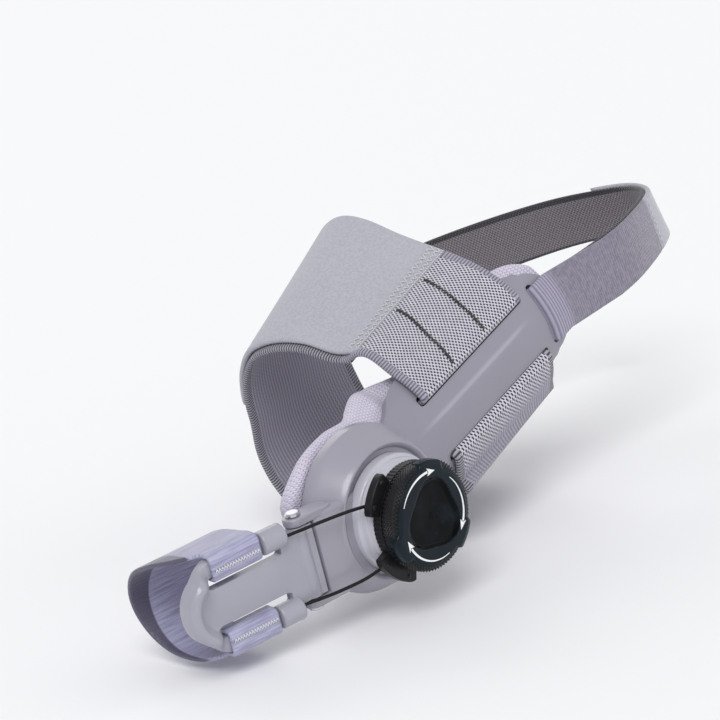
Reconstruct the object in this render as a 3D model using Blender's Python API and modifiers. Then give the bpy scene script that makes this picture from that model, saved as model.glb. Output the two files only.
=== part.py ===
"""Bunion corrector for a right foot, in metres.

X runs from the toes (-X) to the heel (+X), -Y points away from the inner side of the foot, and +Z points up.
The origin lies on the dial's axis, on the face of the pad that touches the big toe's ball joint.
"""

import math

import bmesh
import bpy
from mathutils import Matrix, Vector

# Fit between pieces
GAP = 0.0003
SEAT_GAP = 0.0003
STRAP_EASE = 0.0003
CUT_REACH = 0.0080

# Splint plate along the inner side of the foot
PLATE_LENGTH = 0.099
PLATE_WIDTH = 0.037
PLATE_WALL = 0.0026
PLATE_RISE = math.radians(17)
PLATE_FLARE = math.radians(4)
PLATE_LEAN = math.radians(10)
PLATE_CURVE_RADIUS = 0.026
HUB_RADIUS = 0.0222
HUB_RISE = 0.009
HUB_LIP_WALL = 0.0014
HUB_LIP_DROP = 0.0018
NOSE_RIDGE = 0.0016
NOSE_INSET = 0.0006
NECK_START = 0.010
NECK_END = 0.030

# Slots of the splint plate
SLOT_START = 0.0345
SLOT_LENGTH = 0.0515
SLOT_WIDTH = 0.0030
SLOT_SPACING = 0.0184
HEEL_SLOT_LENGTH = 0.0192
HEEL_SLOT_WIDTH = 0.0030
HEEL_SLOT_AT = 0.0910

# Pad against the skin, and the channels in it where the straps' ends lie under the plate
PAD_WALL = 0.0045
PAD_MARGIN = 0.0045
CHANNEL_SIDE_START = 0.0040
CHANNEL_SIDE_END = 0.0012
CHANNEL_RAMP_START = 0.0090
CHANNEL_RAMP_END = 0.0030
HEEL_CHANNEL_START = 0.0110
HEEL_CHANNEL_END = 0.0060

# Dial
DIAL_RADIUS = 0.0144
DIAL_GRIP_HEIGHT = 0.0036
DIAL_FACE_HEIGHT = 0.0016
DIAL_TEETH = 28
DIAL_TOOTH_DEPTH = 0.0004
DIAL_EDGE = 0.0003
DIAL_WAIST = 0.0006
DIAL_WAIST_SHARE = 0.38
DISH_DEPTH = 0.0009
DISH_TURN = math.radians(81)
BASE_RADIUS = 0.0138
BASE_HEIGHT = 0.0027
BASE_EDGE = 0.0004
PORT_RADIUS = 0.0175
PORT_ROOT_RADIUS = 0.0110
PORT_ROUND = 0.0006
PORT_INSET = 0.0016
PORT_DEPTH = 0.0060
PEDESTAL_RADIUS = 0.0152
PEDESTAL_HEIGHT = 0.0066
SEAT_DEPTH = 0.0016
SEAT_RADIUS = 0.0165
SPINDLE_RADIUS = 0.0022
SPINDLE_DEPTH = 0.0068
GRIP_CROWN = 0.0010

# Toe splint and its hinge
HINGE_AT = Vector((-0.0240, -0.0124, -0.0040))
TOE_DROP = math.radians(6)
TOE_TURN = math.radians(12)
SPLINT_LENGTH = 0.0415
SPLINT_WIDTH = 0.0252
SPLINT_WALL = 0.0030
SPLINT_EDGE = 0.0005
SPLINT_TAIL = 0.0009
KNUCKLE_PROUD = 0.0002
ROOT_WIDTH = 0.0196
LUG_WALL = 0.0023
PIN_RADIUS = 0.0012
PIN_HEAD_RADIUS = 0.0020
PIN_HEAD_HEIGHT = 0.0008
PIN_SETBACK = 0.0040
LUG_RADIUS = 0.0030
LUG_LENGTH = 0.0060
PIN_DEPTH = 0.0022
TOE_SLOT_START = 0.0110
TIP_MARGIN = 0.0080
TOE_SLOT_END = SPLINT_LENGTH - TIP_MARGIN
TOE_BAR_WIDTH = 0.0100
TOE_SLOT_WIDTH = 0.0032
SLEEVE_START = 0.0095
SLEEVE_LENGTH = 0.0070
SLEEVE_RADIUS = 0.0031
SLEEVE_INSET = 0.0024
SLEEVE_OFFSET = SPLINT_WIDTH / 2 - SLEEVE_INSET
SLEEVE_SINK = 0.0004
SHOULDER_LENGTH = 0.0017
TIP_TAPER_WIDTH = 0.0010
TIP_TAPER_LENGTH = 0.0030
TIP_HALF_WIDTH = 0.0092
TIP_ROUND = 0.0075
TIP_SWEEP = 68
LIP_RISE = 0.0032
LIP_WIDTH = 0.0054
LIP_EDGE = 0.0011

# Laces
LACE_RADIUS = 0.00045
LACE_HOLE_RADIUS = 0.00095
LACE_SHIFT = 0.0006
LACE_OFFSET = SLEEVE_OFFSET - LACE_SHIFT
LACE_LIFT = 0.0009
LACE_INSERT = 0.0030
LACE_BOW = 0.0009

# Straps
ELASTIC_WALL = 0.0016
TAB_WALL = 0.0016
TOE_STRAP_WALL = 0.0012
HEEL_STRAP_WALL = 0.0015
HEEL_STRAP_WIDTH = 0.0175
STRAP_YAW = math.radians(8)
FOLD_RADIUS = 0.0012
STRAP_TAIL_SETBACK = 0.0020
STRAP_BOW = 0.0004
SLOT_SIDE_EASE = 0.0007
UPPER_BAR_EDGE = 0.51 * PLATE_WIDTH
LOWER_BAR_EDGE = 0.49 * PLATE_WIDTH
HEEL_TAIL_LENGTH = 0.0058
HEEL_OVERLAP_LENGTH = 0.0066

# Foot that the straps go round
MIDFOOT_WIDTH = 0.070
MIDFOOT_HEIGHT = 0.070
TOE_WIDTH = 0.033
TOE_HEIGHT = 0.032
HEEL_LENGTH = 0.0875
HEEL_WIDTH = 0.072

# Heights above the pad's skin face, along the dial's axis
PLATE_BACK = PAD_WALL + GAP
PLATE_FACE = PLATE_BACK + PLATE_WALL
HUB_TOP = PLATE_FACE + HUB_RISE
SEAT_FLOOR = HUB_TOP - SEAT_DEPTH
PEDESTAL_BACK = SEAT_FLOOR + SEAT_GAP
PEDESTAL_TOP = PEDESTAL_BACK + PEDESTAL_HEIGHT
BASE_BACK = PEDESTAL_TOP + SEAT_GAP
BASE_TOP = BASE_BACK + BASE_HEIGHT
GRIP_BACK = BASE_TOP + SEAT_GAP
GRIP_TOP = GRIP_BACK + DIAL_GRIP_HEIGHT
FACE_BACK = GRIP_TOP + SEAT_GAP
FACE_TOP = FACE_BACK + DIAL_FACE_HEIGHT
SPINDLE_BORE_RADIUS = SPINDLE_RADIUS + GAP

SLOT_OFFSET = SLOT_SPACING / 2
SLOT_END = SLOT_START + SLOT_LENGTH

# Half widths of the plate: distance along it, then upper and lower half widths as shares of PLATE_WIDTH
PLATE_OUTLINE = (
    # along,  upper, lower
    (-0.04, 0.40, 0.40),
    (0.10, 0.35, 0.35),
    (0.18, 0.33, 0.34),
    (0.24, 0.37, 0.38),
    (0.31, 0.47, 0.46),
    (0.45, 0.51, 0.49),
    (0.72, 0.51, 0.47),
    (0.84, 0.47, 0.42),
    (0.92, 0.38, 0.35),
    (0.97, 0.28, 0.27),
    (1.00, 0.17, 0.17),
)

# Half widths of the pad beyond the plate's own, in shares of PAD_MARGIN
PAD_OUTLINE = (
    # along,  upper,  lower in shares of PLATE_WIDTH
    (-0.22, 0.26, 0.30),
    (-0.18, 0.36, 0.42),
    (-0.08, 0.47, 0.54),
    (0.04, 0.50, 0.57),
    (0.14, 0.47, 0.50),
    (0.20, 0.54, 0.46),
    (0.26, 0.61, 0.42),
    (0.32, 0.63, 0.40),
    (0.40, 0.51, 0.38),
    (0.45, 0.49, 0.37),
    (0.75, 0.51, 0.37),
    (0.88, 0.53, 0.36),
    (0.96, 0.47, 0.32),
    (1.01, 0.36, 0.26),
    (1.04, 0.22, 0.16),
)

# Sections of the hub's nose: place towards the toe's tip, underside and top, in shares of PLATE_WALL
NOSE_SECTIONS = (
    # tipward, underside, top
    (-5.8, -1.92, 0.31),
    (-2.7, -2.00, 0.62),
    (-1.15, -2.00, 0.35),
    (0.0, -1.92, 0.0),
)

# Lace ports of the dial's base: angle above the toeward direction where the lace leaves, and the ear's two ends
PORTS = (
    # name, angle, low end, high end
    ("upper", math.radians(34), math.radians(16), math.radians(56)),
    ("lower", math.radians(-47), math.radians(-76), math.radians(-26)),
)

# Loop of the midfoot strap, from its seam on the inner side of the instep over the top, down the outer side
# and back under the sole: lateral and upward places of the front and rear edges, in shares of MIDFOOT_WIDTH
# and MIDFOOT_HEIGHT
MIDFOOT_LOOP = (
    # front across, front up, rear across, rear up
    (0.106, 0.341, 0.115, 0.332),
    (0.233, 0.338, 0.306, 0.424),
    (0.360, 0.385, 0.440, 0.500),
    (0.504, 0.392, 0.550, 0.524),
    (0.640, 0.352, 0.655, 0.480),
    (0.725, 0.262, 0.735, 0.382),
    (0.775, 0.150, 0.780, 0.240),
    (0.800, 0.020, 0.812, 0.080),
    (0.812, -0.120, 0.826, -0.130),
    (0.800, -0.270, 0.810, -0.340),
    (0.740, -0.400, 0.745, -0.520),
    (0.620, -0.465, 0.620, -0.625),
    (0.450, -0.455, 0.440, -0.610),
    (0.270, -0.425, 0.260, -0.530),
    (0.100, -0.390, 0.090, -0.450),
    (-0.050, -0.350, -0.040, -0.375),
    (-0.145, -0.290, -0.130, -0.310),
)

# Toe strap's loop between the two side bars: outward and upward places in shares of TOE_WIDTH and
# TOE_HEIGHT, then the places of its heel and tip edges in shares of SPLINT_LENGTH
TOE_LOOP = (
    # outward, up,   heel edge, tip edge
    (-0.17, 0.410, 0.410, 0.830),
    (-0.31, 0.385, 0.405, 0.900),
    (-0.50, 0.345, 0.400, 0.960),
    (-0.74, 0.240, 0.400, 0.985),
    (-0.91, 0.040, 0.410, 0.970),
    (-0.95, -0.170, 0.420, 0.950),
    (-0.86, -0.370, 0.430, 0.920),
    (-0.66, -0.490, 0.430, 0.890),
    (-0.38, -0.510, 0.420, 0.850),
    (-0.14, -0.450, 0.410, 0.800),
)

# Heel strap's centre line behind the plate: backward and sideways places in shares of HEEL_LENGTH and
# HEEL_WIDTH, height in shares of HEEL_STRAP_WIDTH, and how far its upper edge leans towards the toes
HEEL_LOOP = (
    # back,  across, up,   lean
    (0.14, 0.042, 1.56, 0.10),
    (0.28, 0.042, 1.65, 0.17),
    (0.43, 0.055, 1.76, 0.24),
    (0.58, 0.105, 1.84, 0.30),
    (0.80, 0.230, 1.88, 0.37),
    (0.95, 0.370, 1.82, 0.42),
    (1.00, 0.510, 1.78, 0.42),
    (0.95, 0.650, 1.74, 0.40),
    (0.82, 0.760, 1.72, 0.34),
    (0.60, 0.850, 1.68, 0.26),
    (0.34, 0.930, 1.60, 0.20),
    (0.08, 0.985, 1.48, 0.18),
    (-0.12, 1.003, 1.34, 0.18),
    (-0.26, 1.003, 1.20, 0.20),
)

# How finely the surfaces are divided, and at which of their steps the straps' layers meet
PLATE_STATIONS = 26
PLATE_COLUMNS = 8
PAD_STATIONS = 22
PAD_COLUMNS = 10
MIDFOOT_STEPS = 50
TAB_STEPS = 19
TOE_STRAP_STEPS = 30
HEEL_STEPS = 44
HEEL_COLUMNS = 4
HEEL_FOLD_START = 4
HEEL_SEAM = 12
HEEL_TAB_STEPS = 9
SEAM_SHARE = 0.15


def clear_scene():
    for item in list(bpy.data.objects):
        bpy.data.objects.remove(item, do_unlink=True)


def new_collection(name):
    collection = bpy.data.collections.new(name)
    bpy.context.scene.collection.children.link(collection)
    return collection


def material(name, colour, roughness, metallic=0.0):
    made = bpy.data.materials.new(name)
    made.use_nodes = True
    shader = made.node_tree.nodes["Principled BSDF"]
    shader.inputs["Base Color"].default_value = (*colour, 1.0)
    shader.inputs["Roughness"].default_value = roughness
    shader.inputs["Metallic"].default_value = metallic
    return made


def add_object(name, mesh, collection, finish=None, place=None):
    made = bpy.data.objects.new(name, mesh)
    collection.objects.link(made)
    if place is not None:
        made.matrix_world = place
    if finish is not None:
        mesh.materials.append(finish)
    return made


def shade(mesh, angle=35):
    mesh.shade_smooth()
    mesh.set_sharp_from_angle(angle=math.radians(angle))


def as_cutter(item):
    item.hide_render = True
    item.display_type = "WIRE"
    return item


def boolean(item, other, operation):
    step = item.modifiers.new(f"{operation.lower()} {other.name}", "BOOLEAN")
    step.object = other
    step.operation = operation
    step.solver = "EXACT"


def frame(x_axis, y_axis, z_axis, origin):
    """Matrix that takes local axes to the three given directions, at the given origin."""
    turn = Matrix((x_axis, y_axis, z_axis)).transposed().to_4x4()
    return Matrix.Translation(origin) @ turn


def ease(value, start, end):
    """Smooth step from 0 at start to 1 at end."""
    share = min(1.0, max(0.0, (value - start) / (end - start)))
    return share * share * (3 - 2 * share)


def table_value(table, column, at):
    """Value of a column at a place given in column 0, read along straight lines between the rows."""
    for low, high in zip(table, table[1:]):
        if at <= high[0]:
            share = max(0.0, (at - low[0]) / (high[0] - low[0]))
            return low[column] + (high[column] - low[column]) * share
    return table[-1][column]


def smooth_path(points, steps):
    """Catmull-Rom curve through the points, with the given number of steps in each span."""
    ends = [2 * points[0] - points[1], *points, 2 * points[-1] - points[-2]]
    path = []
    for a, b, c, d in zip(ends, ends[1:], ends[2:], ends[3:]):
        for step in range(steps):
            t = step / steps
            path.append(
                0.5 * (2 * b + (c - a) * t + (2 * a - 5 * b + 4 * c - d) * t**2 + (3 * b - a - 3 * c + d) * t**3)
            )
    path.append(points[-1])
    return path


def even_path(points, count):
    """Points at equal steps along a smooth curve through the given points."""
    fine = smooth_path(points, 12)
    reach = [0.0]
    for a, b in zip(fine, fine[1:]):
        reach.append(reach[-1] + (b - a).length)
    path = []
    place = 0
    for step in range(count):
        wanted = reach[-1] * step / (count - 1)
        while place < len(fine) - 2 and reach[place + 1] < wanted:
            place += 1
        span = reach[place + 1] - reach[place]
        share = (wanted - reach[place]) / span if span else 0.0
        path.append(fine[place].lerp(fine[place + 1], min(1.0, share)))
    return path


def grid_mesh(name, rows):
    """Open surface through rows that hold equally many points."""
    mesh = bpy.data.meshes.new(name)
    bm = bmesh.new()
    placed = [[bm.verts.new(point) for point in row] for row in rows]
    for low, high in zip(placed, placed[1:]):
        for a, b, c, d in zip(low, low[1:], high[1:], high):
            bm.faces.new((a, b, c, d))
    bm.to_mesh(mesh)
    bm.free()
    return mesh


def sheet(name, rows, wall, finish, offset=0.0):
    """Shell of one wall thickness on an open surface; offset 0 keeps the surface in mid wall."""
    mesh = grid_mesh(name, rows)
    made = add_object(name, mesh, PARTS, finish)
    step = made.modifiers.new("wall", "SOLIDIFY")
    step.thickness = wall
    step.offset = offset
    step.use_even_offset = True
    shade(mesh, 60)
    return made


def strip(front, rear, across=3):
    """Rows of points between a strap's two edges, which hold equally many points."""
    return [[a.lerp(b, step / across) for step in range(across + 1)] for a, b in zip(front, rear)]


def lifted(rows, lifts):
    """Rows moved off their own surface, to the left of the way they run, by one distance for each row."""
    moved = []
    last = len(rows) - 1
    for index, (row, lift) in enumerate(zip(rows, lifts)):
        before, after = rows[max(index - 1, 0)], rows[min(index + 1, last)]
        across = row[-1] - row[0]
        moved.append([
            point + across.cross(after[column] - before[column]).normalized() * lift for column, point in enumerate(row)
        ])
    return moved


def loft(name, sections, collection, finish=None, place=None):
    """Closed body through rings of equally many points, capped at both ends."""
    mesh = bpy.data.meshes.new(name)
    bm = bmesh.new()
    rings = [[bm.verts.new(point) for point in section] for section in sections]
    for low, high in zip(rings, rings[1:]):
        for index, corner in enumerate(low):
            after = (index + 1) % len(low)
            bm.faces.new((corner, low[after], high[after], high[index]))
    for end in (rings[0], rings[-1]):
        middle = bm.verts.new(sum((corner.co for corner in end), Vector()) / len(end))
        for corner, after in zip(end, end[1:] + end[:1]):
            bm.faces.new((corner, after, middle))
    bmesh.ops.recalc_face_normals(bm, faces=bm.faces)
    bm.to_mesh(mesh)
    bm.free()
    shade(mesh)
    return add_object(name, mesh, collection, finish, place)


def flat_outline(name, corners, low, high, collection, finish=None, place=None):
    """Plate with the given outline in its local XY plane, from height low to height high."""
    curve = bpy.data.curves.new(name, "CURVE")
    curve.dimensions = "2D"
    curve.fill_mode = "BOTH"
    curve.extrude = (high - low) / 2
    line = curve.splines.new("POLY")
    line.points.add(len(corners) - 1)
    for spot, (x, y) in zip(line.points, corners):
        spot.co = (x, y, 0.0, 1.0)
    line.use_cyclic_u = True
    return curve_to_mesh(name, curve, collection, finish, place, (high + low) / 2)


def curve_to_mesh(name, curve, collection, finish, place, lift=0.0):
    """Mesh object with welded caps, made from a curve that is then removed."""
    guide = bpy.data.objects.new(f"{name} curve", curve)
    bpy.context.scene.collection.objects.link(guide)
    bpy.context.view_layer.update()
    evaluated = guide.evaluated_get(bpy.context.evaluated_depsgraph_get())
    mesh = bpy.data.meshes.new_from_object(evaluated)
    mesh.name = name
    bm = bmesh.new()
    bm.from_mesh(mesh)
    bmesh.ops.remove_doubles(bm, verts=bm.verts, dist=0.00001)
    bmesh.ops.translate(bm, verts=bm.verts, vec=(0.0, 0.0, lift))
    bmesh.ops.recalc_face_normals(bm, faces=bm.faces)
    bm.to_mesh(mesh)
    bm.free()
    bpy.data.objects.remove(guide, do_unlink=True)
    mesh.materials.clear()
    return add_object(name, mesh, collection, finish, place)


def turned(name, profile, steps, collection, finish=None, place=None):
    """Closed body turned about local Z; the profile runs from the top down the outer side."""
    mesh = bpy.data.meshes.new(name)
    bm = bmesh.new()
    spots = [bm.verts.new((radius, 0.0, height)) for radius, height in profile]
    pairs = list(zip(spots, spots[1:]))
    if profile[0][0] > 0:
        pairs.append((spots[-1], spots[0]))
    for a, b in pairs:
        bm.edges.new((a, b))
    bm.to_mesh(mesh)
    bm.free()
    made = add_object(name, mesh, collection, finish, place)
    step = made.modifiers.new("turn", "SCREW")
    step.steps = steps
    step.render_steps = steps
    step.use_merge_vertices = True
    step.merge_threshold = 0.00001
    step.use_smooth_shade = True
    return made


def rod(name, radius, low, high, sides, collection, finish=None, place=None):
    """Round rod along local Z."""
    mesh = bpy.data.meshes.new(name)
    bm = bmesh.new()
    bmesh.ops.create_cone(
        bm, cap_ends=True, cap_tris=True, segments=sides, radius1=radius, radius2=radius, depth=high - low,
        matrix=Matrix.Translation((0.0, 0.0, (high + low) / 2)),
    )
    bm.to_mesh(mesh)
    bm.free()
    shade(mesh)
    return add_object(name, mesh, collection, finish, place)


def stadium(length, width, steps=6):
    """Outline of a slot with round ends, lying along local X and centred."""
    radius = width / 2
    corners = []
    for side in (1, -1):
        for step in range(steps + 1):
            angle = math.pi * (step / steps - 0.5)
            corners.append((side * (length / 2 - radius + radius * math.cos(angle)), side * radius * math.sin(angle)))
    return corners


# The plate's own directions: along it, up across it, and out of its face
ALONG = Vector(
    (math.cos(PLATE_RISE) * math.cos(PLATE_FLARE), math.sin(PLATE_FLARE), math.sin(PLATE_RISE) * math.cos(PLATE_FLARE))
)
UPWARD = Vector((-math.sin(PLATE_RISE), 0.0, math.cos(PLATE_RISE)))
OUTWARD = ALONG.cross(UPWARD)


def plate_directions(along, up):
    """Up-across and outward directions of the plate's face at a place on it."""
    lean = PLATE_LEAN * ease(along, NECK_START, NECK_END)
    bend = up / PLATE_CURVE_RADIUS * ease(along, -HUB_RADIUS, NECK_END)
    across = UPWARD * math.cos(lean) - OUTWARD * math.sin(lean)
    face = OUTWARD * math.cos(lean) + UPWARD * math.sin(lean)
    return across, face, bend


def plate_point(along, up, depth=0.0):
    """Point at a distance along the plate, a width up across it and a depth under its outer face."""
    across, face, bend = plate_directions(along, up)
    centre = Vector((0.0, -PLATE_FACE, 0.0)) + ALONG * max(along, 0.0)
    centre += Vector((ALONG.x, 0.0, ALONG.z)) * min(along, 0.0)
    if abs(bend) < 1e-6:
        return centre + across * up - face * depth
    radius = up / bend
    reach = radius - depth
    return centre + across * reach * math.sin(bend) - face * (radius - reach * math.cos(bend))


def plate_frame(along, up, depth=0.0):
    """Local X along the plate, Y up across it and Z out of its face."""
    across, face, bend = plate_directions(along, up)
    y_axis = across * math.cos(bend) - face * math.sin(bend)
    z_axis = face * math.cos(bend) + across * math.sin(bend)
    return frame(y_axis.cross(z_axis), y_axis, z_axis, plate_point(along, up, depth))


# The toe splint's own directions: towards the toe's tip, up, and out of its face
TIPWARD = Vector((-math.cos(TOE_DROP) * math.cos(TOE_TURN), math.sin(TOE_TURN), -math.sin(TOE_DROP) * math.cos(TOE_TURN)))
TOE_UP = Vector((-math.sin(TOE_DROP), 0.0, math.cos(TOE_DROP)))
TOE_OUT = TOE_UP.cross(TIPWARD)
TOE_FRAME = frame(TOE_UP, TIPWARD, TOE_OUT, HINGE_AT)
TOE_SIDE_FRAME = frame(TIPWARD, TOE_OUT, TOE_UP, HINGE_AT)
DIAL_FRAME = Matrix.Rotation(math.pi / 2, 4, "X")


def toe_point(up, tipward, out):
    return TOE_FRAME @ Vector((up, tipward, out))


# The midfoot strap's own directions
WRAP_AXIS = Vector(
    (math.cos(PLATE_RISE) * math.cos(STRAP_YAW), math.sin(STRAP_YAW), math.sin(PLATE_RISE) * math.cos(STRAP_YAW))
)
WRAP_ACROSS = WRAP_AXIS.cross(UPWARD) * -1


def wrap_point(along, across, up):
    return WRAP_AXIS * along + WRAP_ACROSS * across * MIDFOOT_WIDTH + UPWARD * up * MIDFOOT_HEIGHT


def build_splint_plate():
    rows = []
    start = PLATE_OUTLINE[0][0]
    for step in range(PLATE_STATIONS + 1):
        share = start + (1 - start) * step / PLATE_STATIONS
        upper = table_value(PLATE_OUTLINE, 1, share) * PLATE_WIDTH
        lower = table_value(PLATE_OUTLINE, 2, share) * PLATE_WIDTH
        places = [-lower + (upper + lower) * column / PLATE_COLUMNS for column in range(PLATE_COLUMNS + 1)]
        rows.append([plate_point(share * PLATE_LENGTH, up, PLATE_WALL / 2) for up in places])
    plate = sheet("splint_plate", rows, PLATE_WALL, PLATE_GREY)
    boolean(plate, build_hub(), "UNION")
    boolean(plate, build_nose(), "UNION")
    for side in (1, -1):
        boolean(plate, build_lug(side), "UNION")
    for side in (1, -1):
        cutter = flat_outline(
            f"slot cutter {side}", stadium(SLOT_LENGTH, SLOT_WIDTH), -CUT_REACH, CUT_REACH, CUTTERS,
            place=plate_frame((SLOT_START + SLOT_END) / 2, side * SLOT_OFFSET),
        )
        boolean(plate, as_cutter(cutter), "DIFFERENCE")
    turn = Matrix.Rotation(math.pi / 2, 4, "Z")
    cutter = flat_outline(
        "heel slot cutter", stadium(HEEL_SLOT_LENGTH, HEEL_SLOT_WIDTH), -CUT_REACH, CUT_REACH, CUTTERS,
        place=plate_frame(HEEL_SLOT_AT, 0.0) @ turn,
    )
    boolean(plate, as_cutter(cutter), "DIFFERENCE")
    bore = rod(
        "spindle bore cutter", SPINDLE_BORE_RADIUS, SEAT_FLOOR - SPINDLE_DEPTH - GAP, HUB_TOP + CUT_REACH, 20, CUTTERS,
        place=DIAL_FRAME,
    )
    boolean(plate, as_cutter(bore), "DIFFERENCE")
    seat = rod("seat cutter", SEAT_RADIUS, SEAT_FLOOR, HUB_TOP + CUT_REACH, 40, CUTTERS, place=DIAL_FRAME)
    boolean(plate, as_cutter(seat), "DIFFERENCE")
    pin_hole = rod(
        "pin hole cutter", PIN_RADIUS + GAP, -ROOT_WIDTH, ROOT_WIDTH, 16, CUTTERS,
        place=TOE_SIDE_FRAME @ Matrix.Translation((PIN_SETBACK, -PIN_DEPTH, 0.0)),
    )
    boolean(plate, as_cutter(pin_hole), "DIFFERENCE")
    return plate


def build_hub():
    """Dome that carries the dial, with a lip round the dial's seat."""
    lip = SEAT_RADIUS + HUB_LIP_WALL
    slope = HUB_RADIUS - lip
    profile = (
        (0.0, HUB_TOP - 0.1 * HUB_LIP_DROP),
        (lip - 0.57 * HUB_LIP_WALL, HUB_TOP - 0.1 * HUB_LIP_DROP),
        (lip, HUB_TOP - 0.33 * HUB_LIP_DROP),
        (lip + 0.16 * slope, HUB_TOP - HUB_LIP_DROP),
        (lip + 0.37 * slope, HUB_TOP - 0.32 * HUB_RISE),
        (lip + 0.81 * slope, HUB_TOP - 0.56 * HUB_RISE),
        (lip + 0.86 * slope, HUB_TOP - 0.76 * HUB_RISE),
        (lip + 0.95 * slope, HUB_TOP - 0.90 * HUB_RISE),
        (HUB_RADIUS, HUB_TOP - 1.05 * HUB_RISE),
        (HUB_RADIUS, PLATE_BACK),
        (0.0, PLATE_BACK),
    )
    return as_cutter(turned("hub", profile, 40, CUTTERS, place=DIAL_FRAME))


def build_nose():
    """Tongue of the hub that reaches to the toe splint."""
    sections = []
    half = ROOT_WIDTH / 2 + GAP + LUG_WALL - NOSE_INSET
    for shares in NOSE_SECTIONS:
        tipward, low, high = (share * PLATE_WALL for share in shares)
        ridge = high - NOSE_RIDGE
        sections.append([
            Vector((-half, tipward, low)), Vector((half, tipward, low)), Vector((half, tipward, ridge)),
            Vector((half - NOSE_RIDGE, tipward, high)), Vector((-half + NOSE_RIDGE, tipward, high)),
            Vector((-half, tipward, ridge)),
        ])
    return as_cutter(loft("nose", sections, CUTTERS, place=TOE_FRAME))


def build_lug(side):
    """Ear of the hub that holds one end of the hinge pin."""
    inner = ROOT_WIDTH / 2 + GAP
    radius = LUG_RADIUS
    outline = [(-LUG_LENGTH, -PIN_DEPTH - radius + GAP)]
    for step in range(9):
        angle = math.pi * (step / 8 - 0.5)
        outline.append((PIN_SETBACK + radius * math.cos(angle), -PIN_DEPTH + radius * math.sin(angle)))
    outline.append((-LUG_LENGTH, -PIN_DEPTH + radius - GAP))
    low, high = sorted((side * inner, side * (inner + LUG_WALL)))
    return as_cutter(flat_outline(f"lug {side}", outline, low, high, CUTTERS, place=TOE_SIDE_FRAME))


def build_pad():
    rows = []
    start, end = PAD_OUTLINE[0][0], PAD_OUTLINE[-1][0]
    for step in range(PAD_STATIONS + 1):
        share = start + (end - start) * step / PAD_STATIONS
        along = share * PLATE_LENGTH
        upper = table_value(PAD_OUTLINE, 1, share) * PLATE_WIDTH + PAD_MARGIN
        lower = table_value(PAD_OUTLINE, 2, share) * PLATE_WIDTH
        row = []
        for column in range(PAD_COLUMNS + 1):
            up = -lower + (upper + lower) * column / PAD_COLUMNS
            aside = ease(abs(up), SLOT_OFFSET - CHANNEL_SIDE_START, SLOT_OFFSET - CHANNEL_SIDE_END)
            aside *= ease(along, SLOT_START - CHANNEL_RAMP_START, SLOT_START - CHANNEL_RAMP_END)
            behind = ease(along, HEEL_SLOT_AT - HEEL_CHANNEL_START, HEEL_SLOT_AT - HEEL_CHANNEL_END)
            room = max(aside, behind) * (ELASTIC_WALL + 2 * STRAP_EASE)
            row.append(plate_point(along, up, PLATE_WALL + GAP + room + PAD_WALL / 2))
        rows.append(row)
    return sheet("plate_pad", rows, PAD_WALL, PAD_LILAC)


def tip_arc(steps, inset=0.0):
    """Round tip of the toe splint, from one side to the other, as places up and tipward."""
    places = []
    for step in range(steps + 1):
        angle = math.radians(-TIP_SWEEP + 2 * TIP_SWEEP * step / steps)
        half = TIP_HALF_WIDTH - inset * 0.4
        places.append((half * math.sin(angle), SPLINT_LENGTH - inset - TIP_ROUND * (1 - math.cos(angle))))
    return places


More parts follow.
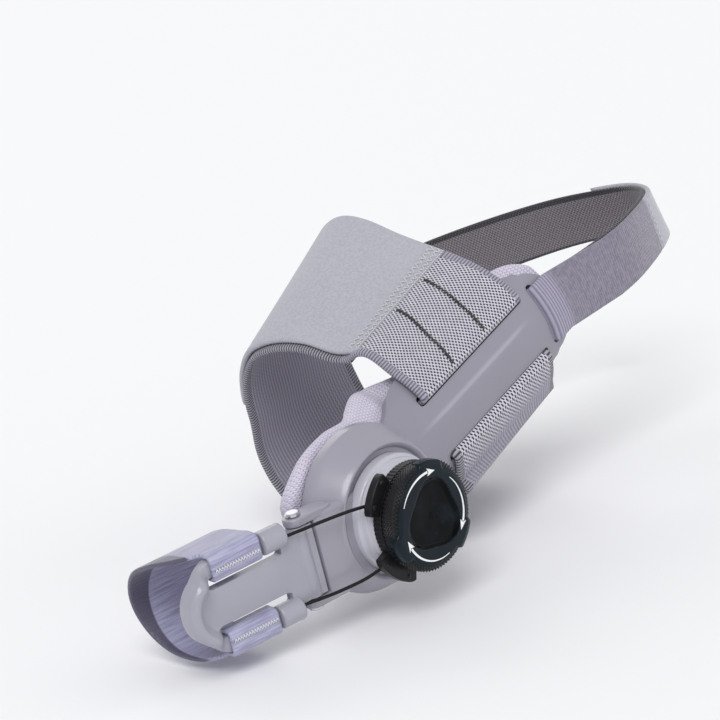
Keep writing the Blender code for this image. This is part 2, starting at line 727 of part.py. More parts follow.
def build_toe_splint():
    half = SPLINT_WIDTH / 2
    root = ROOT_WIDTH / 2
    outline = [
        (root - KNUCKLE_PROUD, SPLINT_TAIL),
        (root - KNUCKLE_PROUD, SLEEVE_START - SHOULDER_LENGTH / 2),
        (half, SLEEVE_START + SHOULDER_LENGTH / 2),
        (half, (TOE_SLOT_START + TOE_SLOT_END) / 2),
        (half, TOE_SLOT_END - TIP_TAPER_LENGTH),
        (half - TIP_TAPER_WIDTH, TOE_SLOT_END + GAP),
        *[(-up, tipward) for up, tipward in tip_arc(8)[:4]],
    ]
    slot_middle = (TOE_BAR_WIDTH + TOE_SLOT_WIDTH) / SPLINT_WIDTH
    rows = []
    for width, tipward in outline:
        rows.append([toe_point(width * share, tipward, 0.0) for share in (-1, -slot_middle, 0, slot_middle, 1)])
    splint = sheet("toe_splint", rows, SPLINT_WALL, PLATE_GREY, -1.0)
    bevel = splint.modifiers.new("edges", "BEVEL")
    bevel.width = SPLINT_EDGE
    bevel.segments = 1
    bevel.limit_method = "ANGLE"
    bevel.angle_limit = math.radians(60)
    boolean(splint, build_lip(), "UNION")
    knuckle = rod(
        "knuckle", PIN_DEPTH + SPLINT_EDGE, -root, root, 20, CUTTERS,
        place=TOE_SIDE_FRAME @ Matrix.Translation((PIN_SETBACK, -PIN_DEPTH, 0.0)),
    )
    boolean(splint, as_cutter(knuckle), "UNION")
    tipward_frame = frame(TOE_UP, TOE_OUT * -1, TIPWARD, HINGE_AT)
    for side in (1, -1):
        sleeve = rod(
            f"sleeve {side}", SLEEVE_RADIUS, SLEEVE_START, SLEEVE_START + SLEEVE_LENGTH, 20, CUTTERS,
            place=tipward_frame @ Matrix.Translation((side * SLEEVE_OFFSET, SLEEVE_SINK, 0.0)),
        )
        boolean(splint, as_cutter(sleeve), "UNION")
    for side in (1, -1):
        centre = side * (TOE_BAR_WIDTH + TOE_SLOT_WIDTH) / 2
        cutter = flat_outline(
            f"toe slot cutter {side}", stadium(TOE_SLOT_END - TOE_SLOT_START, TOE_SLOT_WIDTH), -CUT_REACH, CUT_REACH, CUTTERS,
            place=TOE_FRAME @ Matrix.Translation((centre, (TOE_SLOT_START + TOE_SLOT_END) / 2, 0.0))
            @ Matrix.Rotation(math.pi / 2, 4, "Z"),
        )
        boolean(splint, as_cutter(cutter), "DIFFERENCE")
        hole = rod(
            f"lace hole cutter {side}", LACE_HOLE_RADIUS, SLEEVE_START - LACE_INSERT, SLEEVE_START + LACE_INSERT + GAP, 12,
            CUTTERS, place=tipward_frame @ Matrix.Translation((side * LACE_OFFSET, -LACE_LIFT, 0.0)),
        )
        boolean(splint, as_cutter(hole), "DIFFERENCE")
    pin_hole = rod(
        "splint pin hole cutter", PIN_RADIUS + GAP, -ROOT_WIDTH, ROOT_WIDTH, 16, CUTTERS,
        place=TOE_SIDE_FRAME @ Matrix.Translation((PIN_SETBACK, -PIN_DEPTH, 0.0)),
    )
    boolean(splint, as_cutter(pin_hole), "DIFFERENCE")
    return splint


def build_lip():
    """Raised rim round the splint's tip."""
    sections = []
    low = -SPLINT_WALL * 0.6
    for outer, inner in zip(tip_arc(14, GAP), tip_arc(14, LIP_WIDTH)):
        share = abs(outer[0]) / TIP_HALF_WIDTH
        high = LIP_RISE * (1 - 0.25 * share**4)
        a, b = Vector((*outer, 0.0)), Vector((*inner, 0.0))
        step = (b - a).normalized() * LIP_EDGE
        sections.append([
            Vector((a.x, a.y, low)), Vector((b.x, b.y, low)), Vector((b.x, b.y, high - LIP_EDGE)),
            Vector((b.x - step.x, b.y - step.y, high)), Vector((a.x + step.x, a.y + step.y, high)),
            Vector((a.x, a.y, high - LIP_EDGE)),
        ])
    return as_cutter(loft("lip", sections, CUTTERS, place=TOE_FRAME))


def build_hinge_pin():
    end = ROOT_WIDTH / 2 + GAP + LUG_WALL + GAP
    head = PIN_HEAD_HEIGHT
    profile = (
        (0.0, end + head),
        (PIN_HEAD_RADIUS * 0.8, end + head),
        (PIN_HEAD_RADIUS, end + head * 0.6),
        (PIN_HEAD_RADIUS, end),
        (PIN_RADIUS, end),
        (PIN_RADIUS, -end),
        (PIN_HEAD_RADIUS, -end),
        (PIN_HEAD_RADIUS, -end - head * 0.6),
        (PIN_HEAD_RADIUS * 0.8, -end - head),
        (0.0, -end - head),
    )
    place = TOE_SIDE_FRAME @ Matrix.Translation((PIN_SETBACK, -PIN_DEPTH, 0.0))
    return turned("hinge_pin", profile, 16, PARTS, PIN_STEEL, place)


def build_pedestal():
    bore = SPINDLE_BORE_RADIUS
    radius = PEDESTAL_RADIUS
    back, top = PEDESTAL_BACK, PEDESTAL_TOP
    profile = (
        (bore, top),
        (radius * 0.868, top),
        (radius * 0.895, top - PEDESTAL_HEIGHT * 0.06),
        (radius * 0.901, top - PEDESTAL_HEIGHT * 0.20),
        (radius * 0.941, top - PEDESTAL_HEIGHT * 0.24),
        (radius * 0.947, top - PEDESTAL_HEIGHT * 0.47),
        (radius * 0.987, top - PEDESTAL_HEIGHT * 0.52),
        (radius, top - PEDESTAL_HEIGHT * 0.58),
        (radius, back),
        (bore, back),
    )
    return turned("dial_pedestal", profile, 36, PARTS, PEDESTAL_GREY, DIAL_FRAME)


def port_point(angle):
    """Centre of the lace at its port in the dial's base."""
    radius = PORT_RADIUS - PORT_INSET
    height = BASE_BACK + BASE_HEIGHT / 2
    return DIAL_FRAME @ Vector((-radius * math.cos(angle), radius * math.sin(angle), height))


def lace_ends(angle, side):
    """Places where a lace's ends sit, in its port and in the toe splint's sleeve."""
    port = port_point(angle)
    mouth = toe_point(side * LACE_OFFSET, SLEEVE_START, LACE_LIFT)
    return port, mouth


def lace_direction(angle, side):
    port, mouth = lace_ends(angle, side)
    return (mouth - port).normalized()


def build_dial_base():
    bore = SPINDLE_BORE_RADIUS
    edge = BASE_EDGE
    profile = (
        (bore, BASE_TOP),
        (BASE_RADIUS - edge, BASE_TOP),
        (BASE_RADIUS, BASE_TOP - edge),
        (BASE_RADIUS, BASE_BACK + edge),
        (BASE_RADIUS - edge, BASE_BACK),
        (bore, BASE_BACK),
    )
    base = turned("dial_base", profile, 40, PARTS, DIAL_BLACK, DIAL_FRAME)
    for name, _, low, high in PORTS:
        outline = []
        steps = 6
        for step in range(steps + 1):
            at = low + (high - low) * step / steps
            rounding = PORT_ROUND if step in (0, steps) else 0.0
            outline.append((-(PORT_RADIUS - rounding) * math.cos(at), (PORT_RADIUS - rounding) * math.sin(at)))
        for step in range(steps, -1, -1):
            at = low + (high - low) * step / steps
            outline.append((-PORT_ROOT_RADIUS * math.cos(at), PORT_ROOT_RADIUS * math.sin(at)))
        low_face, high_face = BASE_BACK + BASE_EDGE / 4, BASE_TOP - BASE_EDGE / 4
        port = flat_outline(f"port {name}", outline, low_face, high_face, CUTTERS, place=DIAL_FRAME)
        boolean(base, as_cutter(port), "UNION")
    for (name, angle, _, _), side in zip(PORTS, (1, -1)):
        direction = lace_direction(angle, side)
        place = Matrix.Translation(port_point(angle)) @ direction.to_track_quat("Z", "Y").to_matrix().to_4x4()
        hole = rod(f"port hole cutter {name}", LACE_HOLE_RADIUS, -GAP, PORT_DEPTH, 12, CUTTERS, place=place)
        boolean(base, as_cutter(hole), "DIFFERENCE")
    return base


def build_spindle():
    return rod(
        "dial_spindle", SPINDLE_RADIUS, SEAT_FLOOR - SPINDLE_DEPTH, GRIP_TOP - GRIP_CROWN, 16, PARTS, PIN_STEEL, DIAL_FRAME
    )


def ring(radius, height, tooth=0.0, count=2 * DIAL_TEETH):
    points = []
    for step in range(count):
        angle = 2 * math.pi * step / count
        reach = radius - (tooth if step % 2 else 0.0)
        points.append(Vector((reach * math.cos(angle), reach * math.sin(angle), height)))
    return points


def build_dial_grip():
    """Toothed ring that the fingers turn."""
    tooth = DIAL_TOOTH_DEPTH
    collar = DIAL_RADIUS - DIAL_EDGE / 3
    waist = GRIP_BACK + DIAL_WAIST_SHARE * DIAL_GRIP_HEIGHT
    sections = [
        ring(SPINDLE_BORE_RADIUS, GRIP_TOP - GRIP_CROWN + GAP),
        ring(SPINDLE_BORE_RADIUS, GRIP_BACK),
        ring(collar - DIAL_WAIST, GRIP_BACK),
        ring(collar, GRIP_BACK + DIAL_EDGE, tooth),
        ring(collar, waist - DIAL_EDGE, tooth),
        ring(DIAL_RADIUS - DIAL_WAIST, waist, tooth),
        ring(DIAL_RADIUS, waist + DIAL_EDGE, tooth),
        ring(DIAL_RADIUS, GRIP_TOP - DIAL_EDGE, tooth),
        ring(DIAL_RADIUS - DIAL_WAIST, GRIP_TOP),
    ]
    return loft("dial_grip", sections, PARTS, DIAL_BLACK, DIAL_FRAME)


def dish_depth(x, y):
    """Depth of the three-cornered thumb dish at a place on the dial's face."""
    radius = math.hypot(x, y)
    angle = math.atan2(y, x) - DISH_TURN
    reach = DIAL_RADIUS * (0.66 + 0.07 * math.cos(3 * angle))
    return DISH_DEPTH * (1 - ease(radius, 0.80 * reach, reach))


def build_dial_face():
    """Glossy cap with a dish for the thumb."""
    radius = DIAL_RADIUS - DIAL_EDGE
    count = 42
    sections = [ring(radius - DIAL_WAIST, FACE_BACK, count=count), ring(radius, FACE_BACK + DIAL_EDGE, count=count)]
    sections.append(ring(radius, FACE_TOP - 2 * DIAL_EDGE, count=count))
    for share, drop in ((0.97, DIAL_EDGE), (0.90, 0.0), (0.74, 0.0), (0.67, 0.0), (0.60, 0.0), (0.52, 0.0)):
        points = ring(radius * share, FACE_TOP - drop, count=count)
        for point in points:
            point.z -= dish_depth(point.x, point.y)
        sections.append(points)
    return loft("dial_face", sections, PARTS, FACE_BLACK, DIAL_FRAME)


def lace_route(angle, side):
    """Points of a lace from its port to its sleeve: it bows a little away from the hub."""
    port, mouth = lace_ends(angle, side)
    direction = lace_direction(angle, side)
    inner = mouth + TIPWARD * LACE_INSERT
    bow = (Vector((0.0, -1.0, 0.0)) + Vector((0.0, 0.0, 1.0)) * 0.5) * LACE_BOW
    points = [port, port + direction * 0.002]
    for share in (0.35, 0.6, 0.8):
        points.append(port.lerp(mouth, share) + bow * math.sin(math.pi * share) * (1 - 0.35 * share))
    points += [mouth - TIPWARD * 0.0006, inner]
    return points


def build_lace(name, angle, side):
    curve = bpy.data.curves.new(name, "CURVE")
    curve.dimensions = "3D"
    curve.bevel_depth = LACE_RADIUS
    curve.bevel_resolution = 2
    curve.use_fill_caps = True
    points = even_path(lace_route(angle, side), 16)
    line = curve.splines.new("POLY")
    line.points.add(len(points) - 1)
    for spot, point in zip(line.points, points):
        spot.co = (*point, 1.0)
    return curve_to_mesh(name, curve, PARTS, LACE_BLACK, None)


def fold_round_bar(inside, under_end, over_end, wall, bar_wall):
    """Places across and depths of a strap's end: under the bar, out through its slot at inside, and over the bar."""
    turn = FOLD_RADIUS
    trim = turn * (1 - math.sqrt(0.5))
    under = bar_wall + STRAP_EASE + wall / 2
    over = -STRAP_EASE - wall / 2
    return [
        (under_end, under),
        (inside + turn, under),
        (inside + trim, under - trim),
        (inside, under - turn),
        (inside, over + turn),
        (inside + trim, over + trim),
        (inside + turn, over),
        ((inside + turn + over_end) / 2, over),
        (over_end, over),
    ]


def midfoot_rows():
    """Mid wall of the strap's outer layer, from the seam round to the inner edge of the sole."""
    edges = []
    for along, column in ((SLOT_START, 0), (SLOT_END, 2)):
        route = [wrap_point(along, row[column], row[column + 1]) for row in MIDFOOT_LOOP]
        edges.append(even_path(route, MIDFOOT_STEPS))
    return strip(edges[0], edges[1])


def slot_folds(side, bar_edge):
    """Both edges of a strap's end in a plate slot."""
    inside = SLOT_OFFSET - SLOT_WIDTH / 2 + STRAP_EASE + ELASTIC_WALL / 2
    places = fold_round_bar(inside, bar_edge - STRAP_TAIL_SETBACK, bar_edge, ELASTIC_WALL, PLATE_WALL)
    return [
        [plate_point(along, side * up, depth) for up, depth in places]
        for along in (SLOT_START + SLOT_SIDE_EASE, SLOT_END - SLOT_SIDE_EASE)
    ]


def build_midfoot_straps():
    loop = midfoot_rows()
    rises = []
    for fold, edge in zip(slot_folds(1, UPPER_BAR_EDGE), (0, -1)):
        corner, onward = loop[0][edge], loop[1][edge]
        lead = corner - (onward - corner) * 0.6
        middle = fold[-1].lerp(lead, 0.5) + (fold[-1] - fold[-2]).normalized() * STRAP_BOW
        rises.append(fold + even_path([fold[-1], middle, lead, corner], 8)[1:])
    sheet("strap_upper", strip(rises[0], rises[1]), ELASTIC_WALL, ELASTIC_GREY)
    seam = [a.lerp(b, SEAM_SHARE) for a, b in zip(loop[0], loop[1])]
    sheet("strap_tab", [seam] + loop[1:TAB_STEPS], TAB_WALL, TAB_GREY)
    level = -(TAB_WALL + ELASTIC_WALL) / 2 - STRAP_EASE
    lifts = [level * (1 - ease(index, TAB_STEPS, TAB_STEPS + 5)) for index in range(len(loop))]
    around = list(reversed(lifted(loop, lifts)[1:]))
    folds = slot_folds(-1, LOWER_BAR_EDGE)
    sheet("strap_lower", strip(folds[0], folds[1]) + around, ELASTIC_WALL, ELASTIC_GREY)


def heel_point(row, edge):
    """Edge point of the heel strap; edge is +1 on its upper edge and -1 on its lower one."""
    back, across, up, lean = row
    roll = PLATE_LEAN * (1 - ease(back, 0.1, 0.8))
    tilt = Vector((-math.sin(lean), math.sin(roll), math.cos(lean))).normalized()
    start = plate_point(PLATE_LENGTH * 0.93, 0.0)
    centre = Vector((start.x + back * HEEL_LENGTH, across * HEEL_WIDTH, up * HEEL_STRAP_WIDTH))
    return centre + tilt * edge * HEEL_STRAP_WIDTH / 2


def build_heel_straps():
    wall = HEEL_STRAP_WALL
    edges = [even_path([heel_point(row, edge) for row in HEEL_LOOP], HEEL_STEPS) for edge in (-1, 1)]
    band = strip(edges[0], edges[1], HEEL_COLUMNS)
    sheet("heel_strap_band", band, wall, HEEL_DARK)
    outer = lifted(band, [-wall - STRAP_EASE] * len(band))
    inside = HEEL_SLOT_AT - HEEL_SLOT_WIDTH / 2 + STRAP_EASE + wall / 2
    places = fold_round_bar(inside, inside + HEEL_TAIL_LENGTH, inside + HEEL_OVERLAP_LENGTH, wall, PLATE_WALL)
    heights = [HEEL_STRAP_WIDTH * (column / HEEL_COLUMNS - 0.5) for column in range(HEEL_COLUMNS + 1)]
    fold = [[plate_point(along, up, depth) for up in heights] for along, depth in places]
    bridge = [[a.lerp(b, share) for a, b in zip(fold[-1], outer[HEEL_FOLD_START])] for share in (0.33, 0.67)]
    sheet("heel_strap_fold", fold + bridge + outer[HEEL_FOLD_START:HEEL_SEAM], wall, HEEL_LILAC)
    seam = [a.lerp(b, SEAM_SHARE) for a, b in zip(outer[HEEL_SEAM - 1], outer[HEEL_SEAM])]
    sheet("heel_strap_tab", [seam] + outer[HEEL_SEAM:HEEL_SEAM + HEEL_TAB_STEPS], wall, TAB_GREY)


def build_toe_strap():
    """Webbing round both side bars and over and under the big toe."""
    wall = TOE_STRAP_WALL
    bar_edge = SPLINT_WIDTH / 2
    inside = TOE_BAR_WIDTH / 2 + TOE_SLOT_WIDTH - STRAP_EASE - wall / 2
    places = fold_round_bar(inside, bar_edge - STRAP_TAIL_SETBACK, bar_edge - SPLINT_EDGE, wall, SPLINT_WALL)
    turn = SPLINT_EDGE + STRAP_EASE + wall / 2
    for angle in (math.radians(45), math.radians(90)):
        places.append((bar_edge - SPLINT_EDGE + turn * math.sin(angle), SPLINT_EDGE - turn * math.cos(angle)))
    places.append((bar_edge - SPLINT_EDGE + turn, SPLINT_WALL))
    edges = []
    for tipward, column in ((SLEEVE_START + SLEEVE_LENGTH + STRAP_EASE, 2), (TOE_SLOT_END - TOE_SLOT_WIDTH / 2, 3)):
        ends = [[toe_point(side * up, tipward, -depth) for up, depth in places] for side in (1, -1)]
        loop = [toe_point(row[1] * TOE_HEIGHT, row[column] * SPLINT_LENGTH, row[0] * TOE_WIDTH) for row in TOE_LOOP]
        around = even_path([ends[0][-1], *loop, ends[1][-1]], TOE_STRAP_STEPS)[1:-1]
        edges.append(ends[0] + around + list(reversed(ends[1])))
    sheet("toe_strap", strip(edges[0], edges[1]), wall, TOE_LILAC)


clear_scene()
PARTS = new_collection("bunion_corrector")
CUTTERS = new_collection("cutters")
PLATE_GREY = material("plate grey", (0.36, 0.36, 0.40), 0.35)
PEDESTAL_GREY = material("pedestal grey", (0.50, 0.50, 0.54), 0.25)
DIAL_BLACK = material("dial black", (0.012, 0.012, 0.014), 0.5)
FACE_BLACK = material("dial face black", (0.008, 0.010, 0.014), 0.12)
PIN_STEEL = material("pin steel", (0.6, 0.6, 0.62), 0.3, 1.0)
PAD_LILAC = material("pad lilac", (0.55, 0.50, 0.62), 0.9)
ELASTIC_GREY = material("elastic grey", (0.30, 0.29, 0.32), 0.9)
TAB_GREY = material("tab grey", (0.42, 0.42, 0.46), 0.8)
TOE_LILAC = material("toe strap lilac", (0.52, 0.50, 0.62), 0.45)
HEEL_LILAC = material("heel strap lilac", (0.40, 0.37, 0.45), 0.8)
HEEL_DARK = material("heel strap dark", (0.12, 0.11, 0.13), 0.95)
LACE_BLACK = material("lace black", (0.01, 0.01, 0.01), 0.4)

build_splint_plate()
build_pad()
build_toe_splint()
build_hinge_pin()
build_pedestal()
build_dial_base()
build_spindle()
build_dial_grip()
build_dial_face()
for (port_name, port_angle, _, _), port_side in zip(PORTS, (1, -1)):
    build_lace(f"lace_{port_name}", port_angle, port_side)
build_toe_strap()
build_midfoot_straps()
build_heel_straps()
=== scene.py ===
import math

import bmesh
import bpy
from mathutils import Matrix, Vector


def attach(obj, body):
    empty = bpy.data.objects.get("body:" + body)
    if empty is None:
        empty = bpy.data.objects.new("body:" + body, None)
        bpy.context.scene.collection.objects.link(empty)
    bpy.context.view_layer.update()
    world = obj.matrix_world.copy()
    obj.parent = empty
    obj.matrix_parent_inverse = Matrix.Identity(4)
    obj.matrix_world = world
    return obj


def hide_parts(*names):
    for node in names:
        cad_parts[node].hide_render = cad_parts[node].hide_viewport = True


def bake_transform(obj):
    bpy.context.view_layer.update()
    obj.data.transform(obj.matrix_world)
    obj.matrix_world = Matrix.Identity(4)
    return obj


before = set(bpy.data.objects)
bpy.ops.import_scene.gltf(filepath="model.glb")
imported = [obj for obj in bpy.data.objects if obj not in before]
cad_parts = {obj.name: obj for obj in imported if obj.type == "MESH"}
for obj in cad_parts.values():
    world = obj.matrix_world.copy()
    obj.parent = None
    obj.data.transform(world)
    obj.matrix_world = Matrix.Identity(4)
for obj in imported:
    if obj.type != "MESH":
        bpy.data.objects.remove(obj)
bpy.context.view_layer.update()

mm = 0.001

# The table and the light
# A white table, a large soft light from above on the left, and weaker ones that fill the far side. The brace
# keeps the loops that it has when worn, and a long lens looks at its dial's side from the splint's end.
camera_data = bpy.data.cameras.new("camera")
camera_data.lens = 156
camera_data.sensor_width = 36
camera_data.clip_start = 0.05
camera = bpy.data.objects.new("camera", camera_data)
bpy.context.scene.collection.objects.link(camera)
lens_at = (-0.53804, -0.55906, 0.24001)
turn, tip, roll = math.radians(-44.6), math.radians(14.6), math.radians(-9.7)
lens_back = Vector((math.sin(turn) * math.cos(tip), -math.cos(turn) * math.cos(tip), math.sin(tip)))
level = Vector((math.cos(turn), math.sin(turn), 0.0))
lens_right = level * math.cos(roll) + lens_back.cross(level) * math.sin(roll)
lens_frame = Matrix((lens_right, lens_back.cross(lens_right), lens_back)).transposed().to_4x4()
camera.matrix_world = Matrix.Translation(lens_at) @ lens_frame
bpy.context.scene.camera = camera


def soft_sun(name, toward, strength, spread):
    """Distant light that stands in a direction; its spread in degrees softens the shadows."""
    lamp = bpy.data.lights.new(name, "SUN")
    lamp.energy = strength
    lamp.angle = math.radians(spread)
    lit = bpy.data.objects.new(name, lamp)
    bpy.context.scene.collection.objects.link(lit)
    lit.rotation_euler = Vector(toward).to_track_quat("Z", "Y").to_euler()


soft_sun("window light", (-0.55, -0.45, 0.75), 1.5, 32)
soft_sun("fill light", (0.55, -0.75, 0.30), 0.45, 60)
soft_sun("back light", (0.30, 0.80, 0.50), 0.5, 40)
sky = bpy.data.worlds.new("studio")
sky.use_nodes = True
sky.node_tree.nodes["Background"].inputs["Color"].default_value = (0.97, 0.98, 1.0, 1.0)
sky.node_tree.nodes["Background"].inputs["Strength"].default_value = 0.56
bpy.context.scene.world = sky
bpy.context.scene.view_settings.view_transform = "Standard"


def new_finish(name, colour, roughness, **sockets):
    """Material named for what it covers; a socket is given as its name with underscores for spaces."""
    made = bpy.data.materials.new(name)
    made.use_nodes = True
    shader = made.node_tree.nodes["Principled BSDF"]
    shader.inputs["Base Color"].default_value = (*colour, 1.0)
    shader.inputs["Roughness"].default_value = roughness
    for key, value in sockets.items():
        shader.inputs[key.replace("_", " ")].default_value = value
    return made


def mesh_object(name, verts, faces, finish, smooth=True):
    """Object made from its points, in metres, and its faces."""
    mesh = bpy.data.meshes.new(name)
    mesh.from_pydata([tuple(v) for v in verts], [], faces)
    mesh.materials.append(finish)
    if smooth:
        mesh.shade_smooth()
    made = bpy.data.objects.new(name, mesh)
    bpy.context.scene.collection.objects.link(made)
    return made


table_top = new_finish("table top", (0.93, 0.93, 0.94), 0.8)
table_height = -26.8 * mm
table_corners = [(x, y, table_height) for x, y in ((-5, -5), (9, -5), (9, 9), (-5, 9))]
floor = mesh_object("floor", table_corners, [(0, 1, 2, 3)], table_top)

# The side plate
# One injection moulding in lilac-grey plastic, curved across its width, with a soft ridge whose crest carries
# a painted highlight (a lighter line), two long slots for the instep elastic and a short cross slot for the
# heel strap.
PLATE_LENGTH, PLATE_WIDTH, PLATE_WALL = 99 * mm, 37 * mm, 2.6 * mm
PLATE_RISE, PLATE_FLARE, PLATE_LEAN = math.radians(17), math.radians(4), math.radians(10)
PLATE_CURVE_RADIUS = 26 * mm
PLATE_BACK = 4.8 * mm
PLATE_FACE = PLATE_BACK + PLATE_WALL
HUB_RADIUS = 22.2 * mm
NECK_START, NECK_END = 10 * mm, 30 * mm
RIDGE_RISE, RIDGE_EDGE, RIDGE_CREST, RIDGE_SHOULDER = 0.75 * mm, 7.5 * mm, 2.3 * mm, 3.5 * mm
RIDGE_START, RIDGE_FULL, RIDGE_FADE, RIDGE_END = 26 * mm, 42 * mm, 72 * mm, 86 * mm
SLOT_START, SLOT_END, SLOT_WIDTH, SLOT_OFFSET = 34.5 * mm, 86 * mm, 3.0 * mm, 9.2 * mm
HEEL_SLOT_AT, HEEL_SLOT_WIDTH, HEEL_SLOT_HALF_LENGTH = 91 * mm, 3.0 * mm, 9.6 * mm
# distance in from a slot's end and half width there
SLOT_END_ROUND = ((0.0, 0.9 * mm), (0.35 * mm, 1.3 * mm), (0.9 * mm, 1.5 * mm))
PLATE_OUTLINE = (
    # share along, upper and lower half widths in shares of PLATE_WIDTH
    (-0.04, 0.40, 0.40),
    (0.10, 0.35, 0.35),
    (0.18, 0.33, 0.34),
    (0.24, 0.37, 0.38),
    (0.31, 0.47, 0.46),
    (0.45, 0.51, 0.49),
    (0.72, 0.51, 0.47),
    (0.84, 0.47, 0.42),
    (0.92, 0.38, 0.35),
    (0.97, 0.28, 0.27),
    (1.00, 0.17, 0.17),
)


def ease(value, start, end):
    """Goes smoothly from 0 to 1 as the value goes from start to end."""
    share = min(1.0, max(0.0, (value - start) / (end - start)))
    return share * share * (3 - 2 * share)


def smooth_path(points, steps):
    """Catmull-Rom curve through the points, with the given number of steps in each span."""
    ends = [2 * points[0] - points[1], *points, 2 * points[-1] - points[-2]]
    path = []
    for a, b, c, d in zip(ends, ends[1:], ends[2:], ends[3:]):
        for step in range(steps):
            t = step / steps
            path.append(
                b + 0.5 * ((c - a) * t + (2 * a - 5 * b + 4 * c - d) * t**2 + (3 * (b - c) - a + d) * t**3)
            )
    path.append(points[-1])
    return path


def smooth_value(table, column, at):
    """Value of a table's column at a place in its first column, along a smooth curve through the rows."""
    rows = smooth_path([Vector((row[0], row[column], 0.0)) for row in table], 8)
    for low, high in zip(rows, rows[1:]):
        if at <= high.x:
            return low.lerp(high, max(0.0, (at - low.x) / (high.x - low.x))).y
    return rows[-1].y


ALONG = Vector((
    math.cos(PLATE_RISE) * math.cos(PLATE_FLARE),
    math.sin(PLATE_FLARE),
    math.sin(PLATE_RISE) * math.cos(PLATE_FLARE),
))
UPWARD = Vector((-math.sin(PLATE_RISE), 0.0, math.cos(PLATE_RISE)))
OUTWARD = ALONG.cross(UPWARD)


def plate_point(along, up, depth=0.0):
    """Point at a distance along the plate, a width up across it and a depth under its outer face."""
    lean = PLATE_LEAN * ease(along, NECK_START, NECK_END)
    bend = up / PLATE_CURVE_RADIUS * ease(along, -HUB_RADIUS, NECK_END)
    across = UPWARD * math.cos(lean) - OUTWARD * math.sin(lean)
    face = OUTWARD * math.cos(lean) + UPWARD * math.sin(lean)
    centre = Vector((0.0, -PLATE_FACE, 0.0)) + ALONG * max(along, 0.0)
    centre += Vector((ALONG.x, 0.0, ALONG.z)) * min(along, 0.0)
    if abs(bend) < 1e-6:
        return centre + across * up - face * depth
    radius = up / bend
    reach = radius - depth
    return centre + across * reach * math.sin(bend) - face * (radius - reach * math.cos(bend))


def soften_rims(made, width, angle):
    """Rounds every edge that is sharper than the angle, in degrees."""
    rim = made.modifiers.new("rims", "BEVEL")
    rim.width = width
    rim.segments = 3
    rim.limit_method = "ANGLE"
    rim.angle_limit = math.radians(angle)
    rim.harden_normals = True


def lay_map(made, name, places):
    """Map with one place for each point of the mesh."""
    layer = made.data.uv_layers.new(name=name)
    for loop in made.data.loops:
        layer.data[loop.index].uv = places[loop.vertex_index]


def plate_stations():
    """Distances along the plate of its cross rows, closer together where its slots begin and end."""
    stations = [-4 * mm + 38 * mm * step / 26 for step in range(26)]
    stations += [SLOT_START + at for at, _ in SLOT_END_ROUND]
    stations += [SLOT_START + 2 * mm + (SLOT_END - SLOT_START - 3 * mm) * step / 30 for step in range(31)]
    stations += [SLOT_END - at for at, _ in reversed(SLOT_END_ROUND)]
    stations += [HEEL_SLOT_AT + at * mm for at in (-4.1, -3.2, -2.3, -1.5, -0.8, 0.0, 0.8, 1.5, 2.3)]
    return stations + [HEEL_SLOT_AT + 3 * mm + 5 * mm * step / 8 for step in range(9)]


def ridge_rise(up):
    """Height of the plate's ridge: a long gentle flank below its crest and a short steep one above."""
    flank = ease(up, -RIDGE_EDGE, RIDGE_CREST) * (1 - 0.8 * ease(up, RIDGE_CREST, RIDGE_SHOULDER))
    return RIDGE_RISE * flank * (1 - ease(up, RIDGE_SHOULDER, RIDGE_EDGE))


def plate_mesh(name, finish):
    """The plate's outer face, its three slots left open between columns and rows that follow their rims."""
    narrow, wide = SLOT_END_ROUND[0][1], SLOT_WIDTH / 2
    heel_half = HEEL_SLOT_WIDTH / 2
    stations = plate_stations()
    rows, crest_highlight_places = [], []
    for at in stations:
        share = at / PLATE_LENGTH
        upper = smooth_value(PLATE_OUTLINE, 1, share) * PLATE_WIDTH
        lower = smooth_value(PLATE_OUTLINE, 2, share) * PLATE_WIDTH
        inset = min(at - SLOT_START, SLOT_END - at)
        half = math.sqrt(max(narrow**2, wide**2 - max(0.0, 1.2 * mm - inset) ** 2)) if inset >= 0 else narrow
        middle = SLOT_OFFSET
        heelward = ease(at, HEEL_SLOT_AT - 4.5 * mm, HEEL_SLOT_AT - 2 * mm)
        middle += (HEEL_SLOT_HALF_LENGTH - SLOT_OFFSET) * heelward
        places = []
        for side, reach in ((-1, lower), (1, upper)):
            squeeze = min(1.0, reach / (12.3 * mm))
            rim = [(middle - half) * squeeze, middle * squeeze, (middle + half) * squeeze]
            inner = [up * mm * squeeze for up in (0.9, 1.8, 2.3, 2.7, 3.1, 3.5, 4.8, 6.5)] + rim
            outer = [rim[2] + (reach - rim[2]) * (1 - (1 - step / 5) ** 1.6) for step in range(1, 6)]
            places.append([side * up for up in inner + outer])
        strength = ease(at, RIDGE_START, RIDGE_FULL) * (1 - ease(at, RIDGE_FADE, RIDGE_END))
        row = []
        for up in [*reversed(places[0]), 0.0, *places[1]]:
            shift = at
            if abs(at - HEEL_SLOT_AT) < 2 * mm:
                lift = max(0.0, abs(up) - HEEL_SLOT_HALF_LENGTH + heel_half) / heel_half
                shift = HEEL_SLOT_AT + (at - HEEL_SLOT_AT) * math.sqrt(max(0.16, 1 - lift**2))
            # where the painted highlight on the crest falls: distance off the crest in mm, and the ridge's
            # strength
            crest_highlight_places.append(((up - RIDGE_CREST) / mm - 0.5, strength))
            row.append(plate_point(shift, up, -ridge_rise(up) * strength))
        rows.append(row)
    count = len(rows[0])
    centre = count // 2
    faces = []
    for i, at in enumerate(stations[:-1]):
        between = (at + stations[i + 1]) / 2
        for j in range(count - 1):
            column = abs(j + 0.5 - centre)
            if SLOT_START < between < SLOT_END and 9 <= column < 11:
                continue
            if abs(between - HEEL_SLOT_AT) < heel_half and column < 10:
                continue
            a = i * count + j
            faces.append((a, a + count, a + count + 1, a + 1))
    made = mesh_object(name, [point for row in rows for point in row], faces, finish)
    lay_map(made, "crest", crest_highlight_places)
    return made


